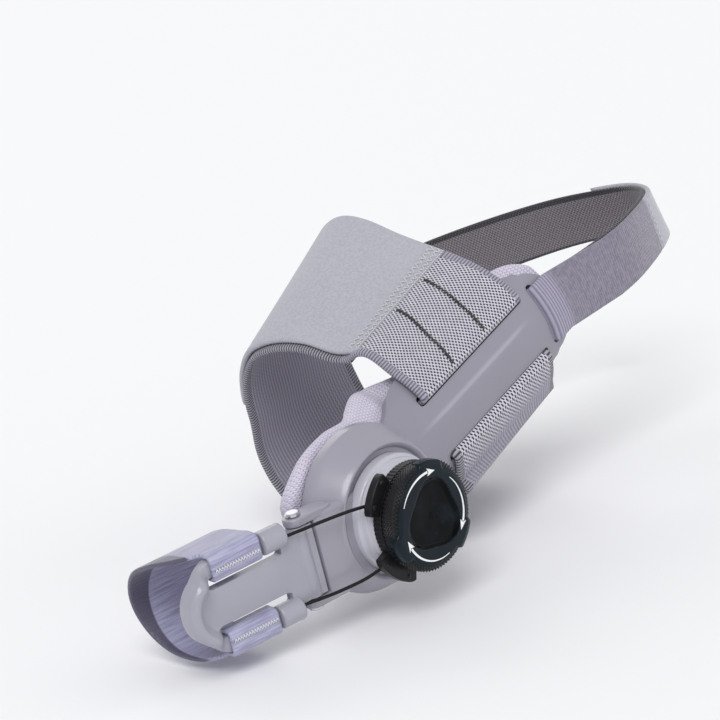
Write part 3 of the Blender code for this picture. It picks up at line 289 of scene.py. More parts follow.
def node(made, kind, inputs=None, **settings):
    """One node; inputs maps a socket's name or number to a value or to another node's output."""
    new = made.node_tree.nodes.new(kind)
    for key, value in settings.items():
        setattr(new, key, value)
    for key, value in (inputs or {}).items():
        socket = new.inputs[key]
        if isinstance(value, bpy.types.NodeSocket):
            made.node_tree.links.new(value, socket)
        else:
            socket.default_value = value
    return new


def maths(made, operation, *values):
    """Result of one maths node."""
    return node(made, "ShaderNodeMath", dict(enumerate(values)), operation=operation).outputs[0]


def noise(made, scale, detail=2.0):
    """Cloudiness that is fixed to the piece."""
    place = node(made, "ShaderNodeTexCoord").outputs["Object"]
    cloud = node(made, "ShaderNodeTexNoise", {"Vector": place, "Scale": scale, "Detail": detail})
    return cloud.outputs["Fac"]


def spread(made, value, low, high):
    """Stretches a value between 0 and 1 to lie between low and high."""
    return node(made, "ShaderNodeMapRange", {0: value, 3: low, 4: high}).outputs[0]


def brightened(made, colour, gain):
    """Colour times a gain, which is another node's output."""
    return node(made, "ShaderNodeVectorMath", {0: colour, "Scale": gain}, operation="SCALE").outputs[0]


def to_shader(made, socket, output):
    """Joins a node's output to one of the shader's sockets."""
    made.node_tree.links.new(output, made.node_tree.nodes["Principled BSDF"].inputs[socket])


def moulded_plastic(name, colour, roughness, grain=0.12):
    """Moulded plastic: a faint cloudiness in its colour and gloss, and the fine grain of the mould."""
    made = new_finish(name, colour, roughness, Specular_IOR_Level=0.5, Coat_Weight=0.15, Coat_Roughness=0.12)
    cloud = noise(made, 60.0, 3.0)
    plain = node(made, "ShaderNodeRGB").outputs[0]
    plain.default_value = (*colour, 1.0)
    to_shader(made, "Base Color", brightened(made, plain, spread(made, cloud, 0.94, 1.05)))
    to_shader(made, "Roughness", spread(made, cloud, roughness - 0.05, roughness + 0.07))
    mould = {"Height": noise(made, 2600.0), "Strength": grain, "Distance": 0.00004}
    to_shader(made, "Normal", node(made, "ShaderNodeBump", mould).outputs[0])
    return made


def paint_crest_highlight(made):
    """Paints a highlight on the ridge's crest, a lighter line, from a map of the distance off the crest in mm
    and how full it is.
    """
    place = node(made, "ShaderNodeSeparateXYZ", {0: node(made, "ShaderNodeUVMap", uv_map="crest").outputs[0]})
    beside = maths(made, "ABSOLUTE", place.outputs[0])
    # painted highlight: up to 42 % lighter within 0.85 mm of the crest, scaled by the ridge's strength
    line = node(made, "ShaderNodeMapRange", {0: beside, 1: 0.1, 2: 0.85, 3: 0.42, 4: 0.0}).outputs[0]
    gain = maths(made, "MULTIPLY_ADD", line, place.outputs[1], 1.0)
    plain = made.node_tree.nodes["Principled BSDF"].inputs["Base Color"].links[0].from_socket
    to_shader(made, "Base Color", brightened(made, plain, gain))


plate_plastic = moulded_plastic("plate plastic", (0.262, 0.254, 0.305), 0.33)
# painted highlight along the ridge's crest
paint_crest_highlight(plate_plastic)
plate_shell = plate_mesh("plate_shell", plate_plastic)
wall = plate_shell.modifiers.new("wall", "SOLIDIFY")
wall.thickness = PLATE_WALL
wall.offset = -1.0
soften_rims(plate_shell, 0.7 * mm, 50)

# The hub and its nose
# The round end of the same moulding, a low dome with a recessed seat for the dial. A tongue reaches from it
# to the toe splint, and two ears on the tongue hold the hinge pin.
DIAL_FRAME = Matrix.Rotation(math.pi / 2, 4, "X")
HINGE_AT = Vector((-24.0 * mm, -12.4 * mm, -4.0 * mm))
TOE_DROP, TOE_TURN = math.radians(6), math.radians(12)
TIPWARD = Vector((
    -math.cos(TOE_DROP) * math.cos(TOE_TURN),
    math.sin(TOE_TURN),
    -math.sin(TOE_DROP) * math.cos(TOE_TURN),
))
TOE_UP = Vector((-math.sin(TOE_DROP), 0.0, math.cos(TOE_DROP)))
TOE_OUT = TOE_UP.cross(TIPWARD)


def toe_point(up, tipward, out):
    """Point by its distances up across the toe splint, towards its tip and outward from its face."""
    return HINGE_AT + TOE_UP * up + TIPWARD * tipward + TOE_OUT * out


def face_outward(made, weld=False):
    """Turns every face outward, after joining the points that fall together if asked."""
    bm = bmesh.new()
    bm.from_mesh(made.data)
    if weld:
        bmesh.ops.remove_doubles(bm, verts=bm.verts, dist=1e-7)
    bmesh.ops.recalc_face_normals(bm, faces=bm.faces)
    bm.to_mesh(made.data)
    bm.free()


def around(place, radius, angle, height):
    """Point round local Z of a place, with its radius and height in millimetres."""
    return place @ Vector((radius * mm * math.cos(angle), radius * mm * math.sin(angle), height * mm))


def ring_faces(rings, count, first=0, wrapped=False, open_rings=False, capped=False, flip=False):
    """Faces between rings of points; wrapped joins the last ring to the first, capped closes both ends."""
    faces = []
    for ring in range(rings if wrapped else rings - 1):
        here, there = first + ring * count, first + (ring + 1) % rings * count
        for a in range(count - 1 if open_rings else count):
            b = (a + 1) % count
            faces.append((here + a, here + b, there + b, there + a))
    if capped:
        last = first + (rings - 1) * count
        faces += [tuple(reversed(range(first, first + count))), tuple(range(last, last + count))]
    return [(face[0], *reversed(face[1:])) for face in faces] if flip else faces


def turned_piece(name, profile, steps, finish, place=DIAL_FRAME, closed=False):
    """Piece turned about local Z; its profile runs from the top down the outer side, or round if closed."""
    verts = []
    for step in range(steps):
        angle = 2 * math.pi * step / steps
        verts += [around(place, radius, angle, height) for radius, height in profile]
    faces = ring_faces(steps, len(profile), wrapped=True, open_rings=not closed)
    made = mesh_object(name, verts, faces, finish)
    face_outward(made, True)
    made.data.shade_smooth()
    made.data.set_sharp_from_angle(angle=math.radians(38))
    return made


def rounded(points, steps=3):
    """Profile with every corner but the ends rounded; each point is a radius, a height and a rounding."""
    path = [points[0][:2]]
    for before, here, after in zip(points, points[1:], points[2:]):
        corner, back, on = Vector(here[:2]), Vector(before[:2]), Vector(after[:2])
        reach = min(here[2], (back - corner).length * 0.45, (on - corner).length * 0.45)
        start = corner + (back - corner).normalized() * reach
        end = corner + (on - corner).normalized() * reach
        for step in range(steps + 1):
            t = step / steps
            path.append(tuple(start * (1 - t) ** 2 + corner * 2 * t * (1 - t) + end * t**2))
    path.append(points[-1][:2])
    return path


# The hub's copy of the plate's plastic is lighter: painted light, standing in for the highlights on its dome.
hub_plastic_painted_lighter = moulded_plastic("hub plastic, painted lighter", (0.325, 0.318, 0.372), 0.24)
hub_profile = rounded((
    # radius, height from the middle plane, rounding, in millimetres
    (0.0, 14.8, 0.0),
    (16.4, 14.8, 0.2),
    (16.9, 15.7, 0.3),
    (17.8, 16.35, 0.5),
    (18.7, 15.2, 0.8),
    (20.0, 12.6, 1.5),
    (21.3, 9.9, 1.5),
    (21.9, 8.6, 0.5),
    (22.2, 7.6, 0.4),
    (22.2, 4.8, 0.3),
    (0.0, 4.8, 0.0),
), 4)
hub_dome = turned_piece("hub_dome", hub_profile, 144, hub_plastic_painted_lighter)


def nose_mesh(name, finish):
    """Tongue with a rounded ridge down each side, swept towards the toe splint."""
    sections = []
    stations = (
        # towards the tip, half width, underside, top, in millimetres
        (-16.0, 12.0, -5.0, -1.2),
        (-13.0, 12.0, -5.0, 0.8),
        (-10.0, 11.95, -5.1, 1.75),
        (-7.0, 11.9, -5.2, 1.65),
        (-4.0, 11.85, -5.2, 1.1),
        (-1.5, 11.8, -5.1, 0.5),
        (-0.12, 11.78, -5.0, 0.35),
        (0.0, 11.65, -4.9, 0.15),
    )
    corner = 1.9
    for tipward, half, low, high in stations:
        ring = [(-half, low), (half, low)]
        for step in range(7):
            angle = math.pi / 2 * step / 6
            ring.append((half - corner + corner * math.cos(angle), high - corner + corner * math.sin(angle)))
        for step in range(1, 8):
            up = (half - corner) * (1 - 2 * step / 8)
            ring.append((up, high + 0.25 * (1 - (up / (half - corner)) ** 2)))
        for step in range(7):
            angle = math.pi / 2 * (1 + step / 6)
            ring.append((-half + corner + corner * math.cos(angle), high - corner + corner * math.sin(angle)))
        sections.append([toe_point(up * mm, tipward * mm, out * mm) for up, out in ring])
    faces = ring_faces(len(sections), len(sections[0]), capped=True, flip=True)
    made = mesh_object(name, [point for ring in sections for point in ring], faces, finish)
    made.data.set_sharp_from_angle(angle=math.radians(48))
    return made


nose = nose_mesh("nose", hub_plastic_painted_lighter)


def flat_piece(name, outline, low, high, place, finish, bevel):
    """Flat piece cut to an outline in its local XY plane, with rounded rims; its sizes are in millimetres."""
    count = len(outline)
    verts = [place @ Vector((x * mm, y * mm, z * mm)) for z in (low, high) for x, y in outline]
    faces = [tuple(reversed(range(count))), tuple(range(count, 2 * count))]
    faces += [(i, (i + 1) % count, (i + 1) % count + count, i + count) for i in range(count)]
    made = mesh_object(name, verts, faces, finish)
    soften_rims(made, bevel * mm, 40)
    return made


TOE_SIDE_FRAME = Matrix.Translation(HINGE_AT) @ Matrix((TIPWARD, TOE_OUT, TOE_UP)).transposed().to_4x4()
PIN_SETBACK, PIN_DEPTH, EAR_RADIUS = 4.0, 2.2, 3.0
ears = []
for side in (1, -1):
    ear = [(-6.0, -4.9)]
    for step in range(17):
        angle = math.pi * (step / 16 - 0.5)
        ear.append((PIN_SETBACK + EAR_RADIUS * math.cos(angle), EAR_RADIUS * math.sin(angle) - PIN_DEPTH))
    ear.append((-6.0, 0.5))
    low, high = sorted((side * 10.1, side * 12.4))
    name = "ear_upper" if side > 0 else "ear_lower"
    ears.append(flat_piece(name, ear, low, high, TOE_SIDE_FRAME, hub_plastic_painted_lighter, 0.5))
for piece in (plate_shell, hub_dome, nose, *ears):
    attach(piece, "brace")
    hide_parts("splint_plate")

# The pad
# A thin foam cushion in a lilac knit, glued behind the plate and a few millimetres larger than it, so that a
# soft rolled edge of pale knitted loops shows all round.
PAD_WALL, PAD_MARGIN, PAD_GAP = 4.5 * mm, 4.5 * mm, 0.3 * mm
PAD_OUTLINE = (
    # share along, upper half width less PAD_MARGIN and lower half width in shares of PLATE_WIDTH
    (-0.22, 0.26, 0.30),
    (-0.18, 0.36, 0.42),
    (-0.08, 0.47, 0.54),
    (0.04, 0.50, 0.57),
    (0.14, 0.47, 0.50),
    (0.20, 0.54, 0.46),
    (0.26, 0.61, 0.42),
    (0.32, 0.63, 0.40),
    (0.40, 0.51, 0.38),
    (0.45, 0.49, 0.37),
    (0.75, 0.51, 0.37),
    (0.88, 0.53, 0.36),
    (0.96, 0.47, 0.32),
    (1.01, 0.36, 0.26),
    (1.04, 0.22, 0.16),
)


def cloth_body(name, rows, wall, finish, edge_steps=6, crown=0.0):
    """Closed cloth with rounded edges on a mid surface, mapped in metres along and across it."""
    count, width = len(rows), len(rows[0])
    half = wall / 2
    rings, places = [], []
    reach = 0.0
    for i, row in enumerate(rows):
        before, after = rows[max(i - 1, 0)], rows[min(i + 1, count - 1)]
        if i:
            reach += sum(((a - b).length for a, b in zip(row, rows[i - 1])), 0.0) / width
        thin = 0.45 if i in (0, count - 1) else 1.0
        edge_ups = [0.0]
        for a, b in zip(row, row[1:]):
            edge_ups.append(edge_ups[-1] + (b - a).length)
        ring, spots, normals, base, ups = [], [], [], [], []
        for j, point in enumerate(row):
            across = row[min(j + 1, width - 1)] - row[max(j - 1, 0)]
            normals.append((after[j] - before[j]).cross(across).normalized())
            ups.append(half + (edge_ups[-1] - 2 * half) * edge_ups[j] / edge_ups[-1])
            low = max(k for k in range(width - 1) if edge_ups[k] <= ups[j])
            span = edge_ups[low + 1] - edge_ups[low]
            base.append(row[low].lerp(row[low + 1], (ups[j] - edge_ups[low]) / span))
        sides = ((row[0] - row[1]).normalized(), (row[-1] - row[-2]).normalized())

        def lift(j):
            share = 2 * j / (width - 1) - 1
            return half * thin + crown * (1 - share**4) * thin

        for j in range(width):
            ring.append(base[j] + normals[j] * lift(j))
            spots.append((reach, ups[j]))
        for k in range(1, edge_steps):
            angle = math.pi * k / edge_steps
            out = normals[-1] * math.cos(angle) * thin + sides[1] * math.sin(angle)
            ring.append(base[-1] + out * half)
            spots.append((reach, ups[-1] + half * min(angle, math.pi - angle)))
        for j in reversed(range(width)):
            ring.append(base[j] - normals[j] * lift(j))
            spots.append((reach, ups[j]))
        for k in range(1, edge_steps):
            angle = math.pi * k / edge_steps
            out = normals[0] * -math.cos(angle) * thin + sides[0] * math.sin(angle)
            ring.append(base[0] + out * half)
            spots.append((reach, half - half * min(angle, math.pi - angle)))
        rings.append(ring)
        places.append(spots)
    faces = ring_faces(count, len(rings[0]), capped=True)
    made = mesh_object(name, [point for ring in rings for point in ring], faces, finish)
    lay_map(made, "cloth", [spot for row in places for spot in row])
    face_outward(made)
    return made, reach, edge_ups[-1]


def cloth_map(made):
    """Distances along and across a cloth, in metres."""
    parts = node(made, "ShaderNodeSeparateXYZ", {0: node(made, "ShaderNodeUVMap", uv_map="cloth").outputs[0]})
    return parts.outputs[0], parts.outputs[1]


def wave(made, place, period, shift=0.0):
    """Sine from -1 to 1 that repeats at each period, in metres."""
    turns = maths(made, "MULTIPLY_ADD", place, 2 * math.pi / period, shift)
    return maths(made, "SINE", turns)


def step_up(made, value, low, high):
    """Goes smoothly from 0 to 1 as the value goes from low to high."""
    step = node(made, "ShaderNodeMapRange", {0: value, 1: low, 2: high}, interpolation_type="SMOOTHSTEP")
    return step.outputs[0]


def between_colours(made, share, low, high):
    """Colour that goes from low to high; each is a colour or another node's output."""
    mixed = node(made, "ShaderNodeMix", data_type="RGBA")
    for number, value in ((0, share), (6, low), (7, high)):
        if isinstance(value, bpy.types.NodeSocket):
            made.node_tree.links.new(value, mixed.inputs[number])
        else:
            mixed.inputs[number].default_value = (*value, 1.0) if number else value
    return mixed.outputs[2]


def dress(made, colour=None, height=None, depth=0.0001, strength=0.8):
    """Joins a colour and a height to the shader."""
    if colour is not None:
        to_shader(made, "Base Color", colour)
    if height is not None:
        bump = node(made, "ShaderNodeBump", {"Height": height, "Strength": strength, "Distance": depth})
        to_shader(made, "Normal", bump.outputs[0])


def pad_knit():
    """Weft knit: columns of V-shaped loops in pale lilac, with slightly darker gaps between them."""
    made = new_finish("pad knit", (0.5, 0.45, 0.58), 0.95, Sheen_Weight=0.3, Sheen_Roughness=0.4)
    along, across = cloth_map(made)
    lean = maths(made, "ABSOLUTE", wave(made, along, 2.6 * mm))
    course = maths(made, "MULTIPLY_ADD", lean, 0.5 * mm, across)
    loops = maths(made, "ABSOLUTE", wave(made, course, 1.7 * mm))
    columns = maths(made, "ABSOLUTE", wave(made, along, 2.6 * mm, 0.6))
    height = maths(made, "MULTIPLY", maths(made, "POWER", loops, 0.5), maths(made, "POWER", columns, 0.35))
    pale = between_colours(made, noise(made, 300.0), (0.60, 0.555, 0.69), (0.78, 0.74, 0.84))
    colour = between_colours(made, step_up(made, height, 0.10, 0.70), (0.40, 0.345, 0.50), pale)
    dress(made, colour, height, 0.0003, 0.7)
    return made


def pad_rows():
    """Mid surface of the pad, pushed back where the straps run between it and the plate."""
    rows = []
    for step in range(101):
        share = PAD_OUTLINE[0][0] + (PAD_OUTLINE[-1][0] - PAD_OUTLINE[0][0]) * step / 100
        along = share * PLATE_LENGTH
        upper = smooth_value(PAD_OUTLINE, 1, share) * PLATE_WIDTH + PAD_MARGIN
        lower = smooth_value(PAD_OUTLINE, 2, share) * PLATE_WIDTH
        row = []
        for column in range(33):
            up = -lower + (upper + lower) * column / 32
            aside = ease(abs(up), SLOT_OFFSET - 4 * mm, SLOT_OFFSET - 1.2 * mm)
            aside *= ease(along, SLOT_START - 9 * mm, SLOT_START - 3 * mm)
            behind = ease(along, HEEL_SLOT_AT - 11 * mm, HEEL_SLOT_AT - 6 * mm)
            push = max(aside, behind) * 2.2 * mm
            row.append(plate_point(along, up, PLATE_WALL + PAD_GAP + push + PAD_WALL / 2))
        rows.append(row)
    return rows


pad, _, _ = cloth_body("pad", pad_rows(), PAD_WALL, pad_knit(), 10)
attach(pad, "brace")
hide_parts("plate_pad")

# The toe splint
# A second moulding in the same plastic: a crowned middle bar, a slot each side of it for the toe strap, a
# raised horseshoe lip round its tip and a round sleeve at each side where a lace is tied in.
SPLINT_LENGTH, SPLINT_WIDTH, SPLINT_WALL = 41.5 * mm, 25.2 * mm, 3.0 * mm
ROOT_HALF, TOE_SLOT_START, TOE_SLOT_END, TOE_SLOT_OFFSET = 9.6, 11.0, 33.5, 6.6
LIP_RISE = 3.2
splint_half, splint_end = SPLINT_WIDTH / 2 / mm, SPLINT_LENGTH / mm
# half width and distance towards the tip in millimetres: root, shoulders, side bars and round tip
splint_outline = [(ROOT_HALF, at) for at in (0.72, 2.5, 4.5, 6.5)]
splint_outline += [(9.65, 7.8), (9.9, 8.6), (10.9, 9.2), (12.0, 9.7), (12.5, 10.3)]
splint_outline += [(splint_half, at) for at in (11.0, 11.4, 12.0, 13.0, *range(14, 31))]
splint_outline += [(12.45, 31.0), (12.3, 32.0), (12.05, 32.6), (11.8, 33.2)]
splint_outline += [(11.6, 33.5), (11.2, 34.2), (10.5, 35.2), (9.6, 36.0)]
for turn in range(64, 8, -5):
    at = math.radians(turn)
    splint_outline.append((9.2 * math.sin(at), splint_end - 7.5 * (1 - math.cos(at))))


def splint_rise(up, tipward):
    """Height of the splint's face in millimetres: crowned middle bar, rounded side bars, horseshoe lip."""
    crown = 0.55 * max(0.0, 1 - (up / 5.0) ** 2) * ease(tipward, 9, 15) * (1 - ease(tipward, 29, 34))
    side = 0.35 * max(0.0, 1 - ((abs(up) - 10.4) / 2.2) ** 2) * ease(tipward, 10, 12)
    outer = math.hypot(up / 9.4, (tipward - 33.8) / 7.7)
    inner = math.hypot(up / 7.0, (tipward - 28.6) / 7.5)
    if tipward < 27.5 or inner < 1.0:
        return crown + side
    share = (inner - 1.0) / (inner - 1.0 + max(0.02, 1.02 - outer))
    angle = math.degrees(math.atan2(abs(up), tipward - 30.0))
    rise = ease(share, 0.05, 0.62) * (1 - 0.35 * ease(share, 0.80, 1.0))
    return crown + side + LIP_RISE * rise * (1 - ease(angle, 52, 72))


def splint_mesh(name, finish):
    """The splint as a face and a flat back, joined round its edge and round both of its slots."""
    rows = []
    for half, tipward in splint_outline:
        inset = min(tipward - TOE_SLOT_START, TOE_SLOT_END - tipward)
        wide = 1.0 if inset < 0 else math.sqrt(max(1.0, 1.6**2 - max(0.0, 1.25 - inset) ** 2))
        squeeze = min(1.0, half / 10.4)
        rim = [(TOE_SLOT_OFFSET + aside) * squeeze for aside in (-wide, 0.0, wide)]
        inner = [rim[0] * step / 7 for step in range(1, 7)] + rim
        outer = [rim[2] + (half - rim[2]) * step / 6 for step in range(1, 7)]
        ups = [-up for up in reversed(inner + outer)] + [0.0] + inner + outer
        rows.append([toe_point(up * mm, tipward * mm, splint_rise(up, tipward) * mm) for up in ups])
    count = len(rows[0])
    centre = count // 2
    faces = []
    for i in range(len(rows) - 1):
        between = (splint_outline[i][1] + splint_outline[i + 1][1]) / 2
        for j in range(count - 1):
            if TOE_SLOT_START < between < TOE_SLOT_END and 7 <= abs(j + 0.5 - centre) < 9:
                continue
            a = i * count + j
            faces.append((a, a + 1, a + count + 1, a + count))
    back = len(rows) * count
    verts = [point for row in rows for point in row]
    verts += [point - TOE_OUT * ((point - HINGE_AT).dot(TOE_OUT) + SPLINT_WALL) for point in verts]
    faces += [tuple(back + corner for corner in reversed(face)) for face in faces]
    made = mesh_object(name, verts, faces, finish)
    bm = bmesh.new()
    bm.from_mesh(made.data)
    bm.verts.ensure_lookup_table()
    rims = [edge for edge in bm.edges if edge.is_boundary and edge.verts[0].index < back]
    for edge in rims:
        a, b = edge.verts[0].index, edge.verts[1].index
        bm.faces.new((bm.verts[a], bm.verts[b], bm.verts[b + back], bm.verts[a + back]))
    bmesh.ops.recalc_face_normals(bm, faces=bm.faces)
    bm.to_mesh(made.data)
    bm.free()
    made.data.shade_smooth()
    soften_rims(made, 0.6 * mm, 55)
    return made


# A lighter copy of the plate's plastic: painted light on the splint, its knuckle and its sleeves.
splint_plastic_painted_lighter = moulded_plastic("splint plastic, painted lighter", (0.35, 0.345, 0.405), 0.28)
splint_bar = splint_mesh("splint_bar", splint_plastic_painted_lighter)
knuckle_profile = rounded(((0.0, 9.8, 0.0), (2.7, 9.8, 0.3), (2.7, -9.8, 0.3), (0.0, -9.8, 0.0)))
PIN_FRAME = TOE_SIDE_FRAME @ Matrix.Translation((PIN_SETBACK * mm, -PIN_DEPTH * mm, 0.0))
knuckle = turned_piece("knuckle", knuckle_profile, 40, splint_plastic_painted_lighter, PIN_FRAME)
TIP_FRAME = Matrix.Translation(HINGE_AT) @ Matrix((TOE_UP, TOE_OUT * -1, TIPWARD)).transposed().to_4x4()
SLEEVE_INSET = 2.4
sleeve_profile = rounded((
    # radius, height towards the tip, rounding, in millimetres
    (0.0, 13.4, 0.0),
    (0.95, 13.4, 0.0),
    (0.95, 9.6, 0.15),
    (3.0, 9.45, 0.35),
    (3.25, 10.1, 0.3),
    (3.1, 10.9, 0.3),
    (3.1, 16.2, 0.5),
    (0.0, 16.5, 0.0),
))
sleeves = []
for name, side in (("sleeve_upper", 1), ("sleeve_lower", -1)):
    spot = TIP_FRAME @ Matrix.Translation((side * (splint_half - SLEEVE_INSET) * mm, 0.4 * mm, 0.0))
    sleeves.append(turned_piece(name, sleeve_profile, 48, splint_plastic_painted_lighter, spot))
for piece in (splint_bar, knuckle, *sleeves):
    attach(piece, "toe")
    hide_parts("toe_splint")

# The hinge pin
# A plain steel pin with two low round heads, pressed through both ears of the nose and the toe splint's
# knuckle. It keeps its own solid and takes a brushed steel finish.
pin_steel = new_finish("pin steel", (0.62, 0.62, 0.65), 0.28, Metallic=1.0)
dress(pin_steel, None, noise(pin_steel, 900.0), 0.00003, 0.4)
for name in ("hinge_pin", "dial_spindle"):
    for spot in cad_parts[name].material_slots:
        spot.material = pin_steel

# The dial's pedestal
# A glossy lighter ring moulded in steps, pressed into the hub's seat to carry the dial.
pedestal_plastic = moulded_plastic("pedestal plastic", (0.52, 0.515, 0.58), 0.16, 0.05)
pedestal = turned_piece("pedestal", rounded((
    # radius, height from the middle plane, rounding, in millimetres
    (2.5, 21.7, 0.0),
    (13.2, 21.7, 0.3),
    (13.6, 21.2, 0.15),
    (13.7, 20.4, 0.1),
    (14.3, 20.1, 0.15),
    (14.4, 18.6, 0.15),
    (15.0, 18.3, 0.2),
    (15.2, 17.8, 0.2),
    (15.2, 15.1, 0.2),
    (2.5, 15.1, 0.0),
)), 128, pedestal_plastic, closed=True)
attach(pedestal, "brace")
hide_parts("dial_pedestal")

# The dial's base
# A black disc with two stubby ears; each ear has a port where a lace runs in, and two small rivets. Fine
# ribs run round its side.
PORTS = (
    # angle of the lace's port, first and last angle of its ear, in degrees
    (34, 16, 56),
    (-47, -76, -26),
)
BASE_BACK, BASE_TOP, BASE_RADIUS, EAR_REACH, RIVET_REACH = 22.0, 24.7, 13.8, 17.5, 16.1
BASE_RIBS = 72


def dial_black(name, colour, roughness):
    """Black plastic or rubber with a fine dusty grain."""
    made = new_finish(name, colour, roughness, Specular_IOR_Level=0.22)
    cloud = noise(made, 500.0, 4.0)
    dusty = between_colours(made, cloud, colour, tuple(c * 2.6 + 0.004 for c in colour))
    dress(made, dusty, cloud, 0.00008, 0.5)
    return made


base_black = dial_black("base black", (0.005, 0.005, 0.006), 0.3)
ribbed = []
for step in range(4 * BASE_RIBS):
    angle = 2 * math.pi * step / (4 * BASE_RIBS)
    reach = BASE_RADIUS - (0.16 if step % 4 in (1, 2) else 0.0)
    ribbed.append((reach * math.cos(angle), reach * math.sin(angle)))
base_disc = flat_piece("base_disc", ribbed, BASE_BACK, BASE_TOP, DIAL_FRAME, base_black, 0.12)
base_pieces = [base_disc]
for number, (_, low, high) in enumerate(PORTS):
    ear = []
    for step in range(13):
        at = math.radians(low + (high - low) * step / 12)
        pull = 0.5 if step in (0, 12) else 0.12 if step in (1, 11) else 0.0
        ear.append(((pull - EAR_REACH) * math.cos(at), (EAR_REACH - pull) * math.sin(at)))
    for step in range(6, -1, -1):
        at = math.radians(low + (high - low) * step / 6)
        ear.append((-11 * math.cos(at), 11 * math.sin(at)))
    if number == 1:
        ear.reverse()
    ear_name = f"base_ear_{number + 1}"
    low_face, high_face = BASE_BACK + 0.1, BASE_TOP - 0.1
    base_pieces.append(flat_piece(ear_name, ear, low_face, high_face, DIAL_FRAME, base_black, 0.35))
    for share in (0.22, 0.80):
        at = math.radians(low + (high - low) * share)
        head = Vector((-RIVET_REACH * math.cos(at), RIVET_REACH * math.sin(at), BASE_TOP - 0.2)) * mm
        rivet = rounded(((0.0, 0.45, 0.0), (0.55, 0.38, 0.3), (0.75, -0.1, 0.0)))
        rivet_name = f"base_rivet_{number + 1}_{int(share * 100)}"
        spot = DIAL_FRAME @ Matrix.Translation(head)
        base_pieces.append(turned_piece(rivet_name, rivet, 20, base_black, spot))
for piece in base_pieces:
    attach(piece, "brace")
    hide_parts("dial_base")

# The dial's grip
# A rubbery black ring, 29 mm across: a ribbed collar below, and above it three arcs knurled in small
# pyramids that run up over its rim. Between them the cap's smooth lobes come down over its side.
grip_rubber = dial_black("grip rubber", (0.008, 0.008, 0.009), 0.3)
LOBES = (81.5, 201.5, 321.5)


def lobe_share(angle):
    """1 in the middle of the cap's three smooth lobes and 0 in the knurled arcs between them."""
    away = min(abs((math.degrees(angle) - lobe + 180) % 360 - 180) for lobe in LOBES)
    return 1 - ease(away, 14, 20)


def grip_mesh(name):
    """Ring whose wall is ribbed below and knurled above."""
    plain, ribs, wall, shoulder = range(4)
    # radius, height, kind of wall and row of the knurl
    levels = [(2.5, 25.0, plain, 0), (13.2, 25.0, plain, 0)]
    levels += [(13.9, 25.2, ribs, 0), (13.95, 25.6, ribs, 0), (13.9, 26.0, ribs, 0)]
    levels += [(13.5, 26.1, plain, 0), (13.6, 26.3, plain, 0)]
    levels += [(14.1, 26.4 + 2.4 * step / 12, wall, step / 4) for step in range(13)]
    levels += [(14.1 - 1.2 * step / 6, 28.8 + 1.2 * step / 6, shoulder, 3 + step / 4) for step in range(1, 7)]
    levels += [(12.4, 29.6, plain, 0), (12.4, 28.6, plain, 0), (2.5, 28.6, plain, 0)]
    steps = 320
    verts = []
    for step in range(steps):
        angle = 2 * math.pi * step / steps
        for reach, height, kind, row in levels:
            if kind == ribs and step % 4 in (1, 2):
                reach -= 0.3
            if kind >= wall:
                pyramid = max(0.0, math.cos(math.pi * step / 2) * math.cos(2 * math.pi * row))
                knurl = 0.44 * pyramid * (1 - lobe_share(angle))
                reach += knurl * (1.0 if kind == wall else 0.7)
                height += knurl * (0.0 if kind == wall else 0.7)
            verts.append(around(DIAL_FRAME, reach, angle, height))
    made = mesh_object(name, verts, ring_faces(steps, len(levels), wrapped=True, flip=True), grip_rubber)
    made.data.set_sharp_from_angle(angle=math.radians(28))
    return made


grip = grip_mesh("grip")
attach(grip, "dial")
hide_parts("dial_grip")

# The dial's face
# A glossy black cap with a three-cornered dish for the thumb and three plain pale arrows printed round it,
# which show the way that tightens. Its three lobes wrap over the grip.
face_gloss = new_finish("face gloss", (0.003, 0.005, 0.008), 0.10, Specular_IOR_Level=0.14)
smear = noise(face_gloss, 110.0, 5.0)
to_shader(face_gloss, "Roughness", spread(face_gloss, smear, 0.07, 0.24))
dress(face_gloss, between_colours(face_gloss, smear, (0.003, 0.006, 0.009), (0.012, 0.022, 0.030)))
dish_gloss = new_finish("dish gloss", (0.001, 0.0015, 0.003), 0.08, Specular_IOR_Level=0.10)
smear = step_up(dish_gloss, noise(dish_gloss, 150.0, 4.0), 0.45, 0.75)
dress(dish_gloss, between_colours(dish_gloss, smear, (0.0005, 0.001, 0.002), (0.006, 0.012, 0.018)))
DISH_TURN = math.radians(81)


def dish_reach(angle):
    """Radius of the dish's three-cornered rim in millimetres."""
    return 9.4 + 1.1 * math.cos(3 * (angle - DISH_TURN))


def cap_reach(angle):
    """Radius of the cap's edge in millimetres."""
    return 13.0 + 1.3 * lobe_share(angle)


def face_height(x, y):
    """Height of the cap's face in millimetres, with the dish pressed into it."""
    radius, angle = math.hypot(x, y), math.atan2(y, x)
    reach, edge = dish_reach(angle), cap_reach(angle)
    rim = 30.5 - 0.35 * ease(radius, edge - 1.3, edge)
    return rim - 1.0 * (1 - ease(radius, 0.84 * reach, reach)) - 0.4 * (1 - ease(radius, 0.0, 0.84 * reach))


def on_face(radius, angle, lift=0.0):
    """Point on the cap's face, lifted off it by some millimetres."""
    height = face_height(radius * math.cos(angle), radius * math.sin(angle))
    return around(DIAL_FRAME, radius, angle, height + lift)


